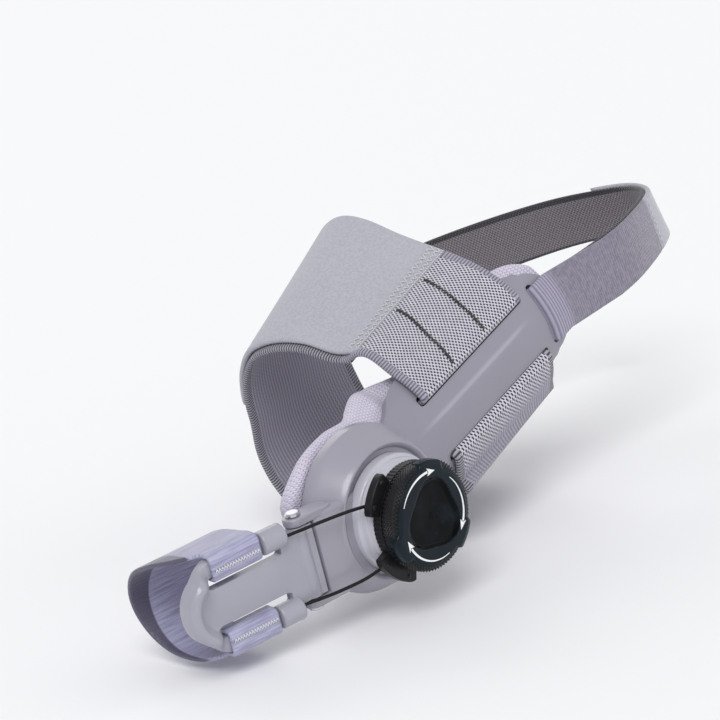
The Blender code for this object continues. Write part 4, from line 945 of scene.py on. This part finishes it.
def face_mesh(name):
    """The cap's face as rings round its middle, and its wall, which comes down further at the three lobes."""
    steps, rings = 180, 52
    turns = [2 * math.pi * step / steps for step in range(steps)]
    verts = [on_face(0.0, 0.0)]
    for ring in range(1, rings + 1):
        verts += [on_face(cap_reach(angle) * ring / rings, angle) for angle in turns]
    for drop, inset in ((0.20, -0.12), (0.5, -0.2), (0.9, -0.2), (1.0, 0.4)):
        for angle in turns:
            height = 30.15 - drop * (1.0 + 2.6 * lobe_share(angle))
            verts.append(around(DIAL_FRAME, cap_reach(angle) - inset, angle, height))
    faces = [(0, 1 + step, 1 + (step + 1) % steps) for step in range(steps)]
    faces += ring_faces(rings + 4, steps, first=1, flip=True)
    faces.append(tuple(reversed(range(len(verts) - steps, len(verts)))))
    made = mesh_object(name, verts, faces, face_gloss)
    made.data.materials.append(dish_gloss)
    for face in made.data.polygons:
        spot = DIAL_FRAME.inverted() @ face.center / mm
        face.material_index = int(math.hypot(spot.x, spot.y) < 0.97 * dish_reach(math.atan2(spot.y, spot.x)))
    return made


cap = face_mesh("cap")
arrow_ink = new_finish("arrow ink", (0.85, 0.86, 0.86), 0.35)
dress(arrow_ink, between_colours(arrow_ink, noise(arrow_ink, 1500.0), (0.80, 0.81, 0.82), (0.92, 0.93, 0.93)))


def arrow_mesh(name, start, end, radius):
    """Printed arrow: a thin tapering arc that thickens towards its head; its ends are in degrees."""
    steps = 30
    first, tip = math.radians(start), math.radians(end)
    neck = tip + math.radians(13)
    verts, faces = [], []
    for step in range(steps + 1):
        half = 0.10 + 0.24 * step / steps
        angle = first + (neck - first) * step / steps
        verts += [on_face(reach, angle, 0.035) for reach in (radius - half, radius + half)]
    for a in range(0, 2 * steps, 2):
        faces.append((a, a + 1, a + 3, a + 2))
    head = len(verts)
    for aside, angle in ((-1.05, neck + 0.02), (0.0, neck - 0.03), (1.05, neck + 0.02), (0.0, tip)):
        verts.append(on_face(radius + aside, angle, 0.06))
    faces += [(head, head + 1, head + 3), (head + 1, head + 2, head + 3)]
    made = mesh_object(name, verts, faces, arrow_ink, False)
    face_outward(made)
    ink = made.modifiers.new("ink", "SOLIDIFY")
    ink.thickness = 0.03 * mm
    ink.offset = 0.0
    return made


# first angle, last angle and radius of each arrow
ARROWS = ((152, 77, 11.8), (46, -38, 11.0), (-74, -165, 11.4))
arrows = [arrow_mesh(f"arrow_{number}", *sizes) for number, sizes in enumerate(ARROWS, 1)]
for piece in (cap, *arrows):
    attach(piece, "dial")
    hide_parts("dial_face")

# The laces
# Two thin braided black cords, one from each ear of the dial's base to its sleeve on the toe splint. The
# dial winds them in, so they bow only a little.
LACE_RADIUS, PORT_REACH, PORT_HEIGHT = 0.45 * mm, 12.6, 23.35
lace_braid = new_finish("lace braid", (0.008, 0.008, 0.009), 0.42, Specular_IOR_Level=0.25)
along, across = cloth_map(lace_braid)
twist = maths(lace_braid, "ADD", along, across)
untwist = maths(lace_braid, "SUBTRACT", along, across)
waves = [wave(lace_braid, turn, 0.9 * mm) for turn in (twist, untwist)]
strands = maths(lace_braid, "MULTIPLY", *waves)
raised = step_up(lace_braid, strands, -0.2, 0.6)
tone = between_colours(lace_braid, raised, (0.002, 0.002, 0.003), (0.014, 0.014, 0.016))
dress(lace_braid, tone, strands, 0.00008)


def tube(name, points, radius, finish, sides=14):
    """Round cord along a path, with its distances mapped."""
    verts, spots = [], []
    reach = 0.0
    side = Vector((0.0, 0.0, 1.0))
    for i, point in enumerate(points):
        way = (points[min(i + 1, len(points) - 1)] - points[max(i - 1, 0)]).normalized()
        side = (side - way * side.dot(way)).normalized()
        other = way.cross(side)
        reach += (point - points[i - 1]).length if i else 0.0
        for step in range(sides):
            angle = 2 * math.pi * step / sides
            verts.append(point + (side * math.cos(angle) + other * math.sin(angle)) * radius)
            spots.append((reach, angle * radius))
    made = mesh_object(name, verts, ring_faces(len(points), sides, capped=True), finish)
    lay_map(made, "cloth", spots)
    return made, reach


for name, port_row, side in (("upper", PORTS[0], 1), ("lower", PORTS[1], -1)):
    port = around(DIAL_FRAME, PORT_REACH, math.pi - math.radians(port_row[0]), PORT_HEIGHT)
    mouth = toe_point(side * ROOT_HALF * mm, 9.5 * mm, 0.9 * mm)
    bow = Vector((0.0, -1.0 * mm, 0.9 * side * mm))
    route = [port, port + (mouth - port).normalized() * 2 * mm]
    for share in (0.35, 0.6, 0.8):
        route.append(port.lerp(mouth, share) + bow * math.sin(math.pi * share) * (1 - 0.35 * share))
    route += [mouth - TIPWARD * 0.6 * mm, mouth + TIPWARD * 3.4 * mm]
    points = smooth_path(route, 8)
    lace, length = tube(f"lace_cord_{name}", points, LACE_RADIUS, lace_braid)
    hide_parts(f"lace_{name}")
    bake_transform(lace)

# The toe strap
# Soft lilac satin webbing in one loop, whose two ends are folded round the splint's side bars through its
# slots and sewn to themselves there with shiny zigzag thread.
TOE_LOOP = (
    # outward, up, heel edge, tip edge, in millimetres
    (-5.6, 13.1, 17.0, 34.4),
    (-10.2, 12.3, 16.8, 37.4),
    (-16.5, 11.0, 16.6, 39.8),
    (-24.4, 7.7, 16.6, 40.9),
    (-30.0, 1.3, 17.0, 40.3),
    (-31.4, -5.4, 17.4, 39.4),
    (-28.4, -11.8, 17.8, 38.2),
    (-21.8, -15.7, 17.8, 36.9),
    (-12.5, -16.3, 17.4, 35.3),
    (-4.6, -14.4, 17.0, 33.2),
)


def even_path(points, count):
    """Points at equal steps along a smooth curve through the given points."""
    fine = smooth_path(points, 12)
    reach = [0.0]
    for a, b in zip(fine, fine[1:]):
        reach.append(reach[-1] + (b - a).length)
    path, place = [], 0
    for step in range(count):
        wanted = reach[-1] * step / (count - 1)
        while place < len(fine) - 2 and reach[place + 1] < wanted:
            place += 1
        span = reach[place + 1] - reach[place]
        share = min(1.0, (wanted - reach[place]) / span if span else 0.0)
        path.append(fine[place].lerp(fine[place + 1], share))
    return path


def fold_route(inside, under_end, over_end, wall, bar_wall, steps=5):
    """Places across and depths of a strap's end: under a bar, out through its slot and over the bar."""
    turn = 1.2 * mm
    under, over = bar_wall + 0.3 * mm + wall / 2, -0.3 * mm - wall / 2
    route = [(under_end, under), ((under_end + inside + turn) / 2, under)]
    for step in range(steps + 1):
        angle = math.pi / 2 * step / steps
        route.append((inside + turn * (1 - math.sin(angle)), under - turn * (1 - math.cos(angle))))
    for step in range(steps + 1):
        angle = math.pi / 2 * step / steps
        route.append((inside + turn * (1 - math.cos(angle)), over + turn * (1 - math.sin(angle))))
    return route + [(inside + turn + (over_end - inside - turn) * step / 4, over) for step in range(1, 5)]


def strip(front, rear, across):
    """Rows of points from one edge of a strap to the other."""
    return [[a.lerp(b, step / across) for step in range(across + 1)] for a, b in zip(front, rear)]


TOE_WEBBING_SPAN = 17.6 * mm


def satin_webbing():
    """Satin weave in bluish lilac: fine streaks from edge to edge, and a darker woven border."""
    made = new_finish("satin webbing", (0.45, 0.44, 0.58), 0.36, Sheen_Weight=0.45, Sheen_Roughness=0.3)
    along, across = cloth_map(made)
    squeezed = maths(made, "MULTIPLY", across, 0.06)
    place = node(made, "ShaderNodeCombineXYZ", {0: along, 1: squeezed}).outputs[0]
    threads = node(made, "ShaderNodeTexNoise", {"Scale": 1900.0, "Detail": 3.0, "Vector": place})
    ribs = wave(made, along, 0.9 * mm)
    picks = wave(made, across, 0.42 * mm)
    ribbing = maths(made, "MULTIPLY_ADD", ribs, 0.22, threads.outputs["Fac"])
    weave = maths(made, "MULTIPLY_ADD", picks, 0.15, ribbing)
    shine = step_up(made, threads.outputs["Fac"], 0.32, 0.68)
    tone = between_colours(made, shine, (0.28, 0.27, 0.41), (0.44, 0.44, 0.60))
    from_edge = maths(made, "MINIMUM", across, maths(made, "SUBTRACT", TOE_WEBBING_SPAN, across))
    edged = between_colours(made, step_up(made, from_edge, 0.5 * mm, 0.0), tone, (0.10, 0.09, 0.14))
    dress(made, edged, weave, 0.00020, 0.6)
    return made


toe_wall = 1.2 * mm
fold = fold_route(7.3 * mm, 10.6 * mm, 12.1 * mm, toe_wall, SPLINT_WALL)
for step in range(1, 6):
    angle = math.pi / 2 * step / 5
    fold.append((12.1 * mm + 1.4 * mm * math.sin(angle), 0.5 * mm - 1.4 * mm * math.cos(angle)))
fold.append((13.5 * mm, 3.0 * mm))
toe_edges = []
for tipward, column in ((16.8, 2), (31.9, 3)):
    ends = [[toe_point(side * up, tipward * mm, -depth) for up, depth in fold] for side in (1, -1)]
    loop = [toe_point(row[1] * mm, row[column] * mm, row[0] * mm) for row in TOE_LOOP]
    between = even_path([ends[0][-1], *loop, ends[1][-1]], 90)[1:-1]
    toe_edges.append(ends[0] + between + list(reversed(ends[1])))
toe_rows = strip(toe_edges[0], toe_edges[1], 20)
toe_webbing, length, width = cloth_body("toe_webbing", toe_rows, toe_wall, satin_webbing())
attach(toe_webbing, "toe")
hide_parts("toe_strap")


def thread_finish(name, colour, roughness):
    """Twisted sewing thread."""
    made = new_finish(name, colour, roughness, Sheen_Weight=0.3)
    along, across = cloth_map(made)
    ply = wave(made, maths(made, "ADD", along, across), 0.5 * mm)
    dark = tuple(c * 0.6 for c in colour)
    dress(made, between_colours(made, step_up(made, ply, -1.0, 0.6), dark, colour), ply, 0.00006)
    return made


def stitches(name, runs, radius, finish, body):
    """Sewn thread as short humps between its holes; a run holds the points where it meets the cloth."""
    verts, spots, faces = [], [], []
    for run in runs:
        for (a, na), (b, nb) in zip(run, run[1:]):
            way = (b - a).normalized()
            first = len(verts)
            for step in range(5):
                t = step / 4
                normal = na.lerp(nb, t).normalized()
                swell = math.sin(math.pi * (0.12 + 0.76 * t))
                centre = a.lerp(b, t) + normal * radius * (2.0 * swell - 0.6)
                side = way.cross(normal)
                thick = radius * (0.55 + 0.45 * swell)
                for k in range(6):
                    angle = math.pi * k / 3
                    verts.append(centre + (side * math.cos(angle) + normal * math.sin(angle)) * thick)
                    spots.append(((b - a).length * t, angle * radius))
            faces += ring_faces(5, 6, first, capped=True)
    made = mesh_object(name, verts, faces, finish)
    lay_map(made, "cloth", spots)
    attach(made, body)
    return made


def on_cloth(rows, wall, along, share, outside=1.0):
    """Point on a cloth's face at a distance along its rows and a share across, with the way outward."""
    reach = 0.0
    for i in range(1, len(rows)):
        middle = len(rows[i]) // 2
        span = (rows[i][middle] - rows[i - 1][middle]).length
        if reach + span >= along or i == len(rows) - 1:
            t = max(0.0, min(1.0, (along - reach) / span))
            place = share * (len(rows[i]) - 1)
            j = min(int(place), len(rows[i]) - 2)
            f = place - j
            low = rows[i - 1][j].lerp(rows[i - 1][j + 1], f)
            high = rows[i][j].lerp(rows[i][j + 1], f)
            normal = (high - low).cross(rows[i][j + 1] - rows[i][j]).normalized() * outside
            return low.lerp(high, t) + normal * wall / 2, normal
        reach += span


def zigzag(rows, wall, start, end, sway, pitch, outside=1.0):
    """Points of a zigzag; both its ends and its sway are a distance along and a share across."""
    first = on_cloth(rows, wall, *start, outside)[0]
    last = on_cloth(rows, wall, *end, outside)[0]
    count = max(2, int((last - first).length / pitch))
    points = []
    for step in range(count + 1):
        t, way = step / count, 1 if step % 2 else -1
        along = start[0] + (end[0] - start[0]) * t + sway[0] * way
        across = start[1] + (end[1] - start[1]) * t + sway[1] * way
        points.append(on_cloth(rows, wall, along, across, outside))
    return points


satin_thread = thread_finish("satin thread", (0.92, 0.92, 0.97), 0.25)
toe_runs = []
for at in (9.5 * mm, length - 9.5 * mm):
    toe_runs.append(zigzag(toe_rows, toe_wall, (at, 0.05), (at, 0.95), (0.6 * mm, 0.0), 0.42 * mm))
toe_seams = stitches("toe_seams", toe_runs, 0.15 * mm, satin_thread, "toe")

# The instep elastic
# Two lengths of 50 mm bird's-eye elastic with ribbed edges. The upper one is folded through the plate's upper
# slot; the lower one goes through the lower slot, right round the loop and up inside the tab.
WRAP_WIDTH = WRAP_HEIGHT = 70 * mm
STRAP_YAW = math.radians(8)
WRAP_LOOP = (
    # front across, front up, rear across, rear up, in shares of WRAP_WIDTH and WRAP_HEIGHT
    (0.106, 0.341, 0.115, 0.332),
    (0.233, 0.338, 0.306, 0.424),
    (0.360, 0.385, 0.440, 0.500),
    (0.504, 0.392, 0.550, 0.524),
    (0.640, 0.352, 0.655, 0.480),
    (0.725, 0.262, 0.735, 0.382),
    (0.775, 0.150, 0.780, 0.240),
    (0.800, 0.020, 0.812, 0.080),
    (0.812, -0.120, 0.826, -0.130),
    (0.800, -0.270, 0.810, -0.340),
    (0.740, -0.400, 0.745, -0.520),
    (0.620, -0.465, 0.620, -0.625),
    (0.450, -0.455, 0.440, -0.610),
    (0.270, -0.425, 0.260, -0.530),
    (0.100, -0.390, 0.090, -0.450),
    (-0.050, -0.350, -0.040, -0.375),
    (-0.145, -0.290, -0.130, -0.310),
)
WRAP_AXIS = Vector((
    math.cos(PLATE_RISE) * math.cos(STRAP_YAW),
    math.sin(STRAP_YAW),
    math.sin(PLATE_RISE) * math.cos(STRAP_YAW),
))
WRAP_ACROSS = WRAP_AXIS.cross(UPWARD) * -1
elastic_wall = tab_wall = 1.6 * mm
ELASTIC_SPAN = 50.1 * mm
WRAP_STEPS, WRAP_COLUMNS = 197, 28


def wrap_point(along, across, up):
    """Point of the instep loop at a distance along its axis, with its place in shares of the loop's size."""
    return WRAP_AXIS * along + WRAP_ACROSS * across * WRAP_WIDTH + UPWARD * up * WRAP_HEIGHT


def lifted(rows, lifts):
    """Rows moved off their own surface, each row by its own distance."""
    moved = []
    for i, (row, lift) in enumerate(zip(rows, lifts)):
        before, after = rows[max(i - 1, 0)], rows[min(i + 1, len(rows) - 1)]
        across = row[-1] - row[0]
        outward = [across.cross(after[j] - before[j]).normalized() for j in range(len(row))]
        moved.append([point + way * lift for point, way in zip(row, outward)])
    return moved


def slot_fold(side, bar_edge):
    """Both edges of an elastic's end, folded round the plate's bar and out through the slot on one side."""
    inside = SLOT_OFFSET - SLOT_WIDTH / 2 + 0.3 * mm + elastic_wall / 2
    route = fold_route(inside, bar_edge - 2 * mm, bar_edge, elastic_wall, PLATE_WALL)
    edges = (SLOT_START + 0.7 * mm, SLOT_END - 0.7 * mm)
    return [[plate_point(along, side * up, depth) for up, depth in route] for along in edges]


def birdseye(name, checked_until, edge_tones):
    """Elastic whose checks give way to plain cords past a distance, and to cross ribs at its edges."""
    made = new_finish(name, (0.3, 0.3, 0.33), 0.85, Sheen_Weight=0.2, Sheen_Roughness=0.5)
    along, across = cloth_map(made)
    check = maths(made, "MULTIPLY", wave(made, along, 1.35 * mm), wave(made, across, 1.28 * mm))
    dark = step_up(made, check, 0.02, 0.30)
    ribs = wave(made, along, 0.85 * mm)
    cords = wave(made, across, 1.28 * mm)
    fine = wave(made, across, 0.55 * mm)
    pale = between_colours(made, noise(made, 420.0), (0.50, 0.485, 0.56), (0.74, 0.72, 0.80))
    checked = between_colours(made, dark, pale, (0.020, 0.020, 0.030))
    edge_dark = between_colours(made, step_up(made, ribs, -0.4, 0.6), *edge_tones)
    from_edge = maths(made, "MINIMUM", across, maths(made, "SUBTRACT", ELASTIC_SPAN, across))
    near_edge = step_up(made, from_edge, 2.6 * mm, 2.0 * mm)
    plain = between_colours(made, step_up(made, cords, -0.8, 0.5), (0.25, 0.235, 0.30), (0.42, 0.40, 0.48))
    plain_part = step_up(made, along, checked_until - 1.5 * mm, checked_until + 3.5 * mm)
    body = between_colours(made, plain_part, checked, plain)
    edged = between_colours(made, near_edge, body, edge_dark)
    ribbing = maths(made, "MULTIPLY_ADD", fine, 0.12, maths(made, "MULTIPLY", ribs, 0.2))
    height = maths(made, "MULTIPLY_ADD", dark, -0.8, ribbing)
    dress(made, edged, height, 0.0003, 0.8)
    return made


wrap_edges = []
for along, column in ((SLOT_START, 0), (SLOT_END, 2)):
    loop = [wrap_point(along, row[column], row[column + 1]) for row in WRAP_LOOP]
    wrap_edges.append(even_path(loop, WRAP_STEPS))
wrap_rows = strip(*wrap_edges, WRAP_COLUMNS)
upper_fold = slot_fold(1, 0.51 * PLATE_WIDTH)
rises = []
for fold, edge in zip(upper_fold, (0, -1)):
    start, out = fold[-1], (fold[-1] - fold[-2]).normalized()
    end, onward = wrap_rows[0][edge], (wrap_rows[3][edge] - wrap_rows[0][edge]).normalized()
    pull = (end - start).length * 0.36
    rise = []
    for step in range(1, 31):
        t = step / 30
        first, last = start + out * pull, end - onward * pull
        shares = ((1 - t) ** 3, 3 * t * (1 - t) ** 2, 3 * t * t * (1 - t), t**3)
        rise.append(start * shares[0] + first * shares[1] + last * shares[2] + end * shares[3])
    rises.append(fold + rise)
under = lifted(wrap_rows, [-1.75 * mm * ease(i, 0, 7) for i in range(16)] + [0.0] * (WRAP_STEPS - 16))
rises = [rise + [row[edge] for row in under[1:10]] for rise, edge in zip(rises, (0, -1))]
upper_rows = strip(*rises, WRAP_COLUMNS)
checked_weave = birdseye("bird's-eye elastic", 200 * mm, ((0.40, 0.38, 0.46), (0.15, 0.14, 0.19)))
upper_elastic, upper_length, width = cloth_body("upper_elastic", upper_rows, elastic_wall, checked_weave)
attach(upper_elastic, "brace")
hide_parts("strap_upper")
under_lift = -(tab_wall + elastic_wall) / 2 - 0.3 * mm
lifts = [under_lift * (1 - ease(i, 76, 96)) for i in range(WRAP_STEPS)]
lower_rows = strip(*slot_fold(-1, 0.49 * PLATE_WIDTH), WRAP_COLUMNS)
lower_rows += list(reversed(lifted(wrap_rows, lifts)[4:]))
corded_weave = birdseye("bird's-eye elastic, ribbed", 15.5 * mm, ((0.40, 0.38, 0.44), (0.05, 0.048, 0.06)))
lower_elastic, length, width = cloth_body("lower_elastic", lower_rows, elastic_wall, corded_weave)
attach(lower_elastic, "brace")
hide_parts("strap_lower")
black_thread = thread_finish("black thread", (0.018, 0.018, 0.022), 0.6)
middle = [row[WRAP_COLUMNS // 2] for row in upper_rows[:-9]]
seam_reach = sum((after - before).length for before, after in zip(middle, middle[1:]))
black_runs = []
for first, last in ((0.64, 0.71), (0.32, 0.41)):
    start, end = (12.0 * mm, first), (seam_reach - 0.4 * mm, last)
    black_runs.append(zigzag(upper_rows, elastic_wall, start, end, (0.0, 0.014), 0.5 * mm, -1))
upper_ticks = stitches("upper_ticks", black_runs, 0.2 * mm, black_thread, "brace")
black_runs = []
for first, last, bend in ((0.70, 0.66, 0.62), (0.42, 0.385, 0.33)):
    start, corner, end = (12.0 * mm, first), (15.5 * mm, last), (22.0 * mm, bend)
    black_runs.append(zigzag(lower_rows, elastic_wall, start, corner, (0.0, 0.012), 0.5 * mm, -1))
    black_runs.append(zigzag(lower_rows, elastic_wall, corner, end, (0.0, 0.0), 1.2 * mm, -1))
lower_ticks = stitches("lower_ticks", black_runs, 0.15 * mm, black_thread, "brace")

# The instep tab
# A smooth grey hook tab sewn over the end of the upper elastic with three rows of pale zigzag. It closes
# over the top of the loop and presses onto the lower elastic on the far side.


def brushed_tab(name):
    """Close brushed fabric: nearly plain, with a faint nap and a soft sheen."""
    made = new_finish(name, (0.38, 0.38, 0.43), 0.72, Sheen_Weight=0.35, Sheen_Roughness=0.35)
    along, across = cloth_map(made)
    nap = noise(made, 1400.0, 3.0)
    twill = wave(made, maths(made, "ADD", along, across), 0.6 * mm)
    tone = between_colours(made, noise(made, 45.0, 3.0), (0.355, 0.355, 0.415), (0.42, 0.42, 0.47))
    mottled = between_colours(made, step_up(made, nap, 0.35, 0.65), tone, (0.44, 0.44, 0.49))
    dress(made, mottled, maths(made, "MULTIPLY_ADD", twill, 0.10, nap), 0.00012, 0.5)
    return made


shares = [0.03 + 0.97 * column / WRAP_COLUMNS for column in range(WRAP_COLUMNS + 1)]
tab_rows = [[row[0].lerp(row[-1], share) for share in shares] for row in wrap_rows[:73]]
instep_tab, length, width = cloth_body("instep_tab", tab_rows, tab_wall, brushed_tab("brushed tab"))
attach(instep_tab, "brace")
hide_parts("strap_tab")
pale_thread = thread_finish("pale thread", (0.86, 0.86, 0.90), 0.5)
tab_runs = []
for at, sway, pitch in ((0.9, 0.0, 0.9), (2.1, 0.7, 1.1), (4.1, 0.8, 1.1)):
    start, end = (at * mm, 0.02), (at * mm, 0.985)
    tab_runs.append(zigzag(tab_rows, tab_wall, start, end, (sway * mm, 0.0), pitch * mm, -1))
tab_seams = stitches("tab_seams", tab_runs, 0.17 * mm, pale_thread, "brace")

# The heel straps
# A 17 mm ribbed lilac-grey elastic goes through the plate's cross slot and backward, and ends in a smooth
# sewn-on hook tab. Behind them a dark loop-faced band runs round the back of the loop to the far side.
HEEL_REACH, HEEL_WIDTH, HEEL_STRAP_WIDTH = 87.5 * mm, 72 * mm, 17.5 * mm
HEEL_LOOP = (
    # back, across, up, lean, in shares of HEEL_REACH, HEEL_WIDTH and HEEL_STRAP_WIDTH
    (0.14, 0.042, 1.56, 0.10),
    (0.28, 0.042, 1.65, 0.17),
    (0.43, 0.055, 1.76, 0.24),
    (0.58, 0.105, 1.84, 0.30),
    (0.80, 0.230, 1.88, 0.37),
    (0.95, 0.370, 1.82, 0.42),
    (1.00, 0.510, 1.78, 0.42),
    (0.95, 0.650, 1.74, 0.40),
    (0.82, 0.760, 1.72, 0.34),
    (0.60, 0.850, 1.68, 0.26),
    (0.34, 0.930, 1.60, 0.20),
    (0.08, 0.985, 1.48, 0.18),
    (-0.12, 1.003, 1.34, 0.18),
    (-0.26, 1.003, 1.20, 0.20),
)
heel_wall = 1.5 * mm


def heel_point(row, edge):
    """Point on one edge of the heel band, for a row of its table."""
    back, across, up, lean = row
    roll = PLATE_LEAN * (1 - ease(back, 0.1, 0.8))
    tilt = Vector((-math.sin(lean), math.sin(roll), math.cos(lean))).normalized()
    start = plate_point(PLATE_LENGTH * 0.93, 0.0)
    middle = Vector((start.x + back * HEEL_REACH, across * HEEL_WIDTH, up * HEEL_STRAP_WIDTH))
    return middle + tilt * edge * HEEL_STRAP_WIDTH / 2


def ribbed_elastic():
    """Ribbed elastic: cross ribs that show most near the fold, under a soft lilac pile."""
    made = new_finish("ribbed elastic", (0.33, 0.30, 0.39), 0.85, Sheen_Weight=0.4, Sheen_Roughness=0.4)
    along, across = cloth_map(made)
    pile = noise(made, 700.0, 4.0)
    ribs = wave(made, along, 1.05 * mm)
    fine = wave(made, across, 0.6 * mm)
    near_fold = step_up(made, along, 20 * mm, 15 * mm)
    raised = step_up(made, ribs, -0.8, 0.5)
    ribbed_part = between_colours(made, raised, (0.22, 0.20, 0.28), (0.38, 0.355, 0.46))
    brushed = step_up(made, pile, 0.3, 0.7)
    pile_part = between_colours(made, brushed, (0.185, 0.165, 0.225), (0.25, 0.228, 0.295))
    colour = between_colours(made, near_fold, pile_part, ribbed_part)
    height = maths(made, "MULTIPLY_ADD", ribs, 0.35, maths(made, "MULTIPLY_ADD", fine, 0.15, pile))
    dress(made, colour, height, 0.00025, 0.7)
    return made


def dark_loop():
    """Loop-faced band: a coarse brownish-grey weave between black edges."""
    made = new_finish("dark loop", (0.14, 0.12, 0.14), 0.95, Sheen_Weight=0.3, Sheen_Roughness=0.5)
    along, across = cloth_map(made)
    place = node(made, "ShaderNodeTexCoord").outputs["Object"]
    loops = node(made, "ShaderNodeTexVoronoi", {"Vector": place, "Scale": 1100.0})
    weave = maths(made, "MULTIPLY", wave(made, along, 1.1 * mm), wave(made, across, 1.3 * mm))
    colour = between_colours(made, step_up(made, weave, -0.5, 0.5), (0.10, 0.088, 0.105), (0.25, 0.225, 0.25))
    from_edge = maths(made, "MINIMUM", across, maths(made, "SUBTRACT", HEEL_STRAP_WIDTH, across))
    edged = between_colours(made, step_up(made, from_edge, 1.3 * mm, 0.9 * mm), colour, (0.03, 0.028, 0.036))
    dress(made, edged, maths(made, "SUBTRACT", weave, loops.outputs["Distance"]), 0.0003, 0.7)
    return made


heel_edges = [even_path([heel_point(row, edge) for row in HEEL_LOOP], 173) for edge in (-1, 1)]
band_rows = strip(*heel_edges, 16)
heel_band, length, width = cloth_body("heel_band", band_rows, heel_wall, dark_loop())
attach(heel_band, "brace")
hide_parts("heel_strap_band")
outer_rows = lifted(band_rows, [-heel_wall - 0.3 * mm] * len(band_rows))
inside = HEEL_SLOT_AT - HEEL_SLOT_WIDTH / 2 + 0.3 * mm + heel_wall / 2
route = fold_route(inside, inside + 5.8 * mm, inside + 6.6 * mm, heel_wall, PLATE_WALL)
heights = [HEEL_STRAP_WIDTH * (column / 16 - 0.5) for column in range(17)]
fold_rows = [[plate_point(along, up, depth) for up in heights] for along, depth in route]
bridge = [[a.lerp(b, step / 8) for a, b in zip(fold_rows[-1], outer_rows[16])] for step in range(1, 8)]
lilac_rows = fold_rows + bridge + outer_rows[16:45]
lilac_strap, lilac_length, width = cloth_body("lilac_strap", lilac_rows, heel_wall, ribbed_elastic())
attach(lilac_strap, "brace")
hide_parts("heel_strap_fold")
heel_seam = [a.lerp(b, 0.6) for a, b in zip(outer_rows[44], outer_rows[45])]
heel_tab_rows = [heel_seam] + outer_rows[45:81]
heel_tab, length, width = cloth_body("heel_tab", heel_tab_rows, heel_wall, brushed_tab("brushed heel tab"))
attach(heel_tab, "brace")
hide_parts("heel_strap_tab")
heel_runs = [zigzag(heel_tab_rows, heel_wall, (1.2 * mm, 0.05), (1.2 * mm, 0.95), (0.5 * mm, 0.0), 1.0 * mm)]
heel_seams = stitches("heel_seams", heel_runs, 0.12 * mm, pale_thread, "brace")
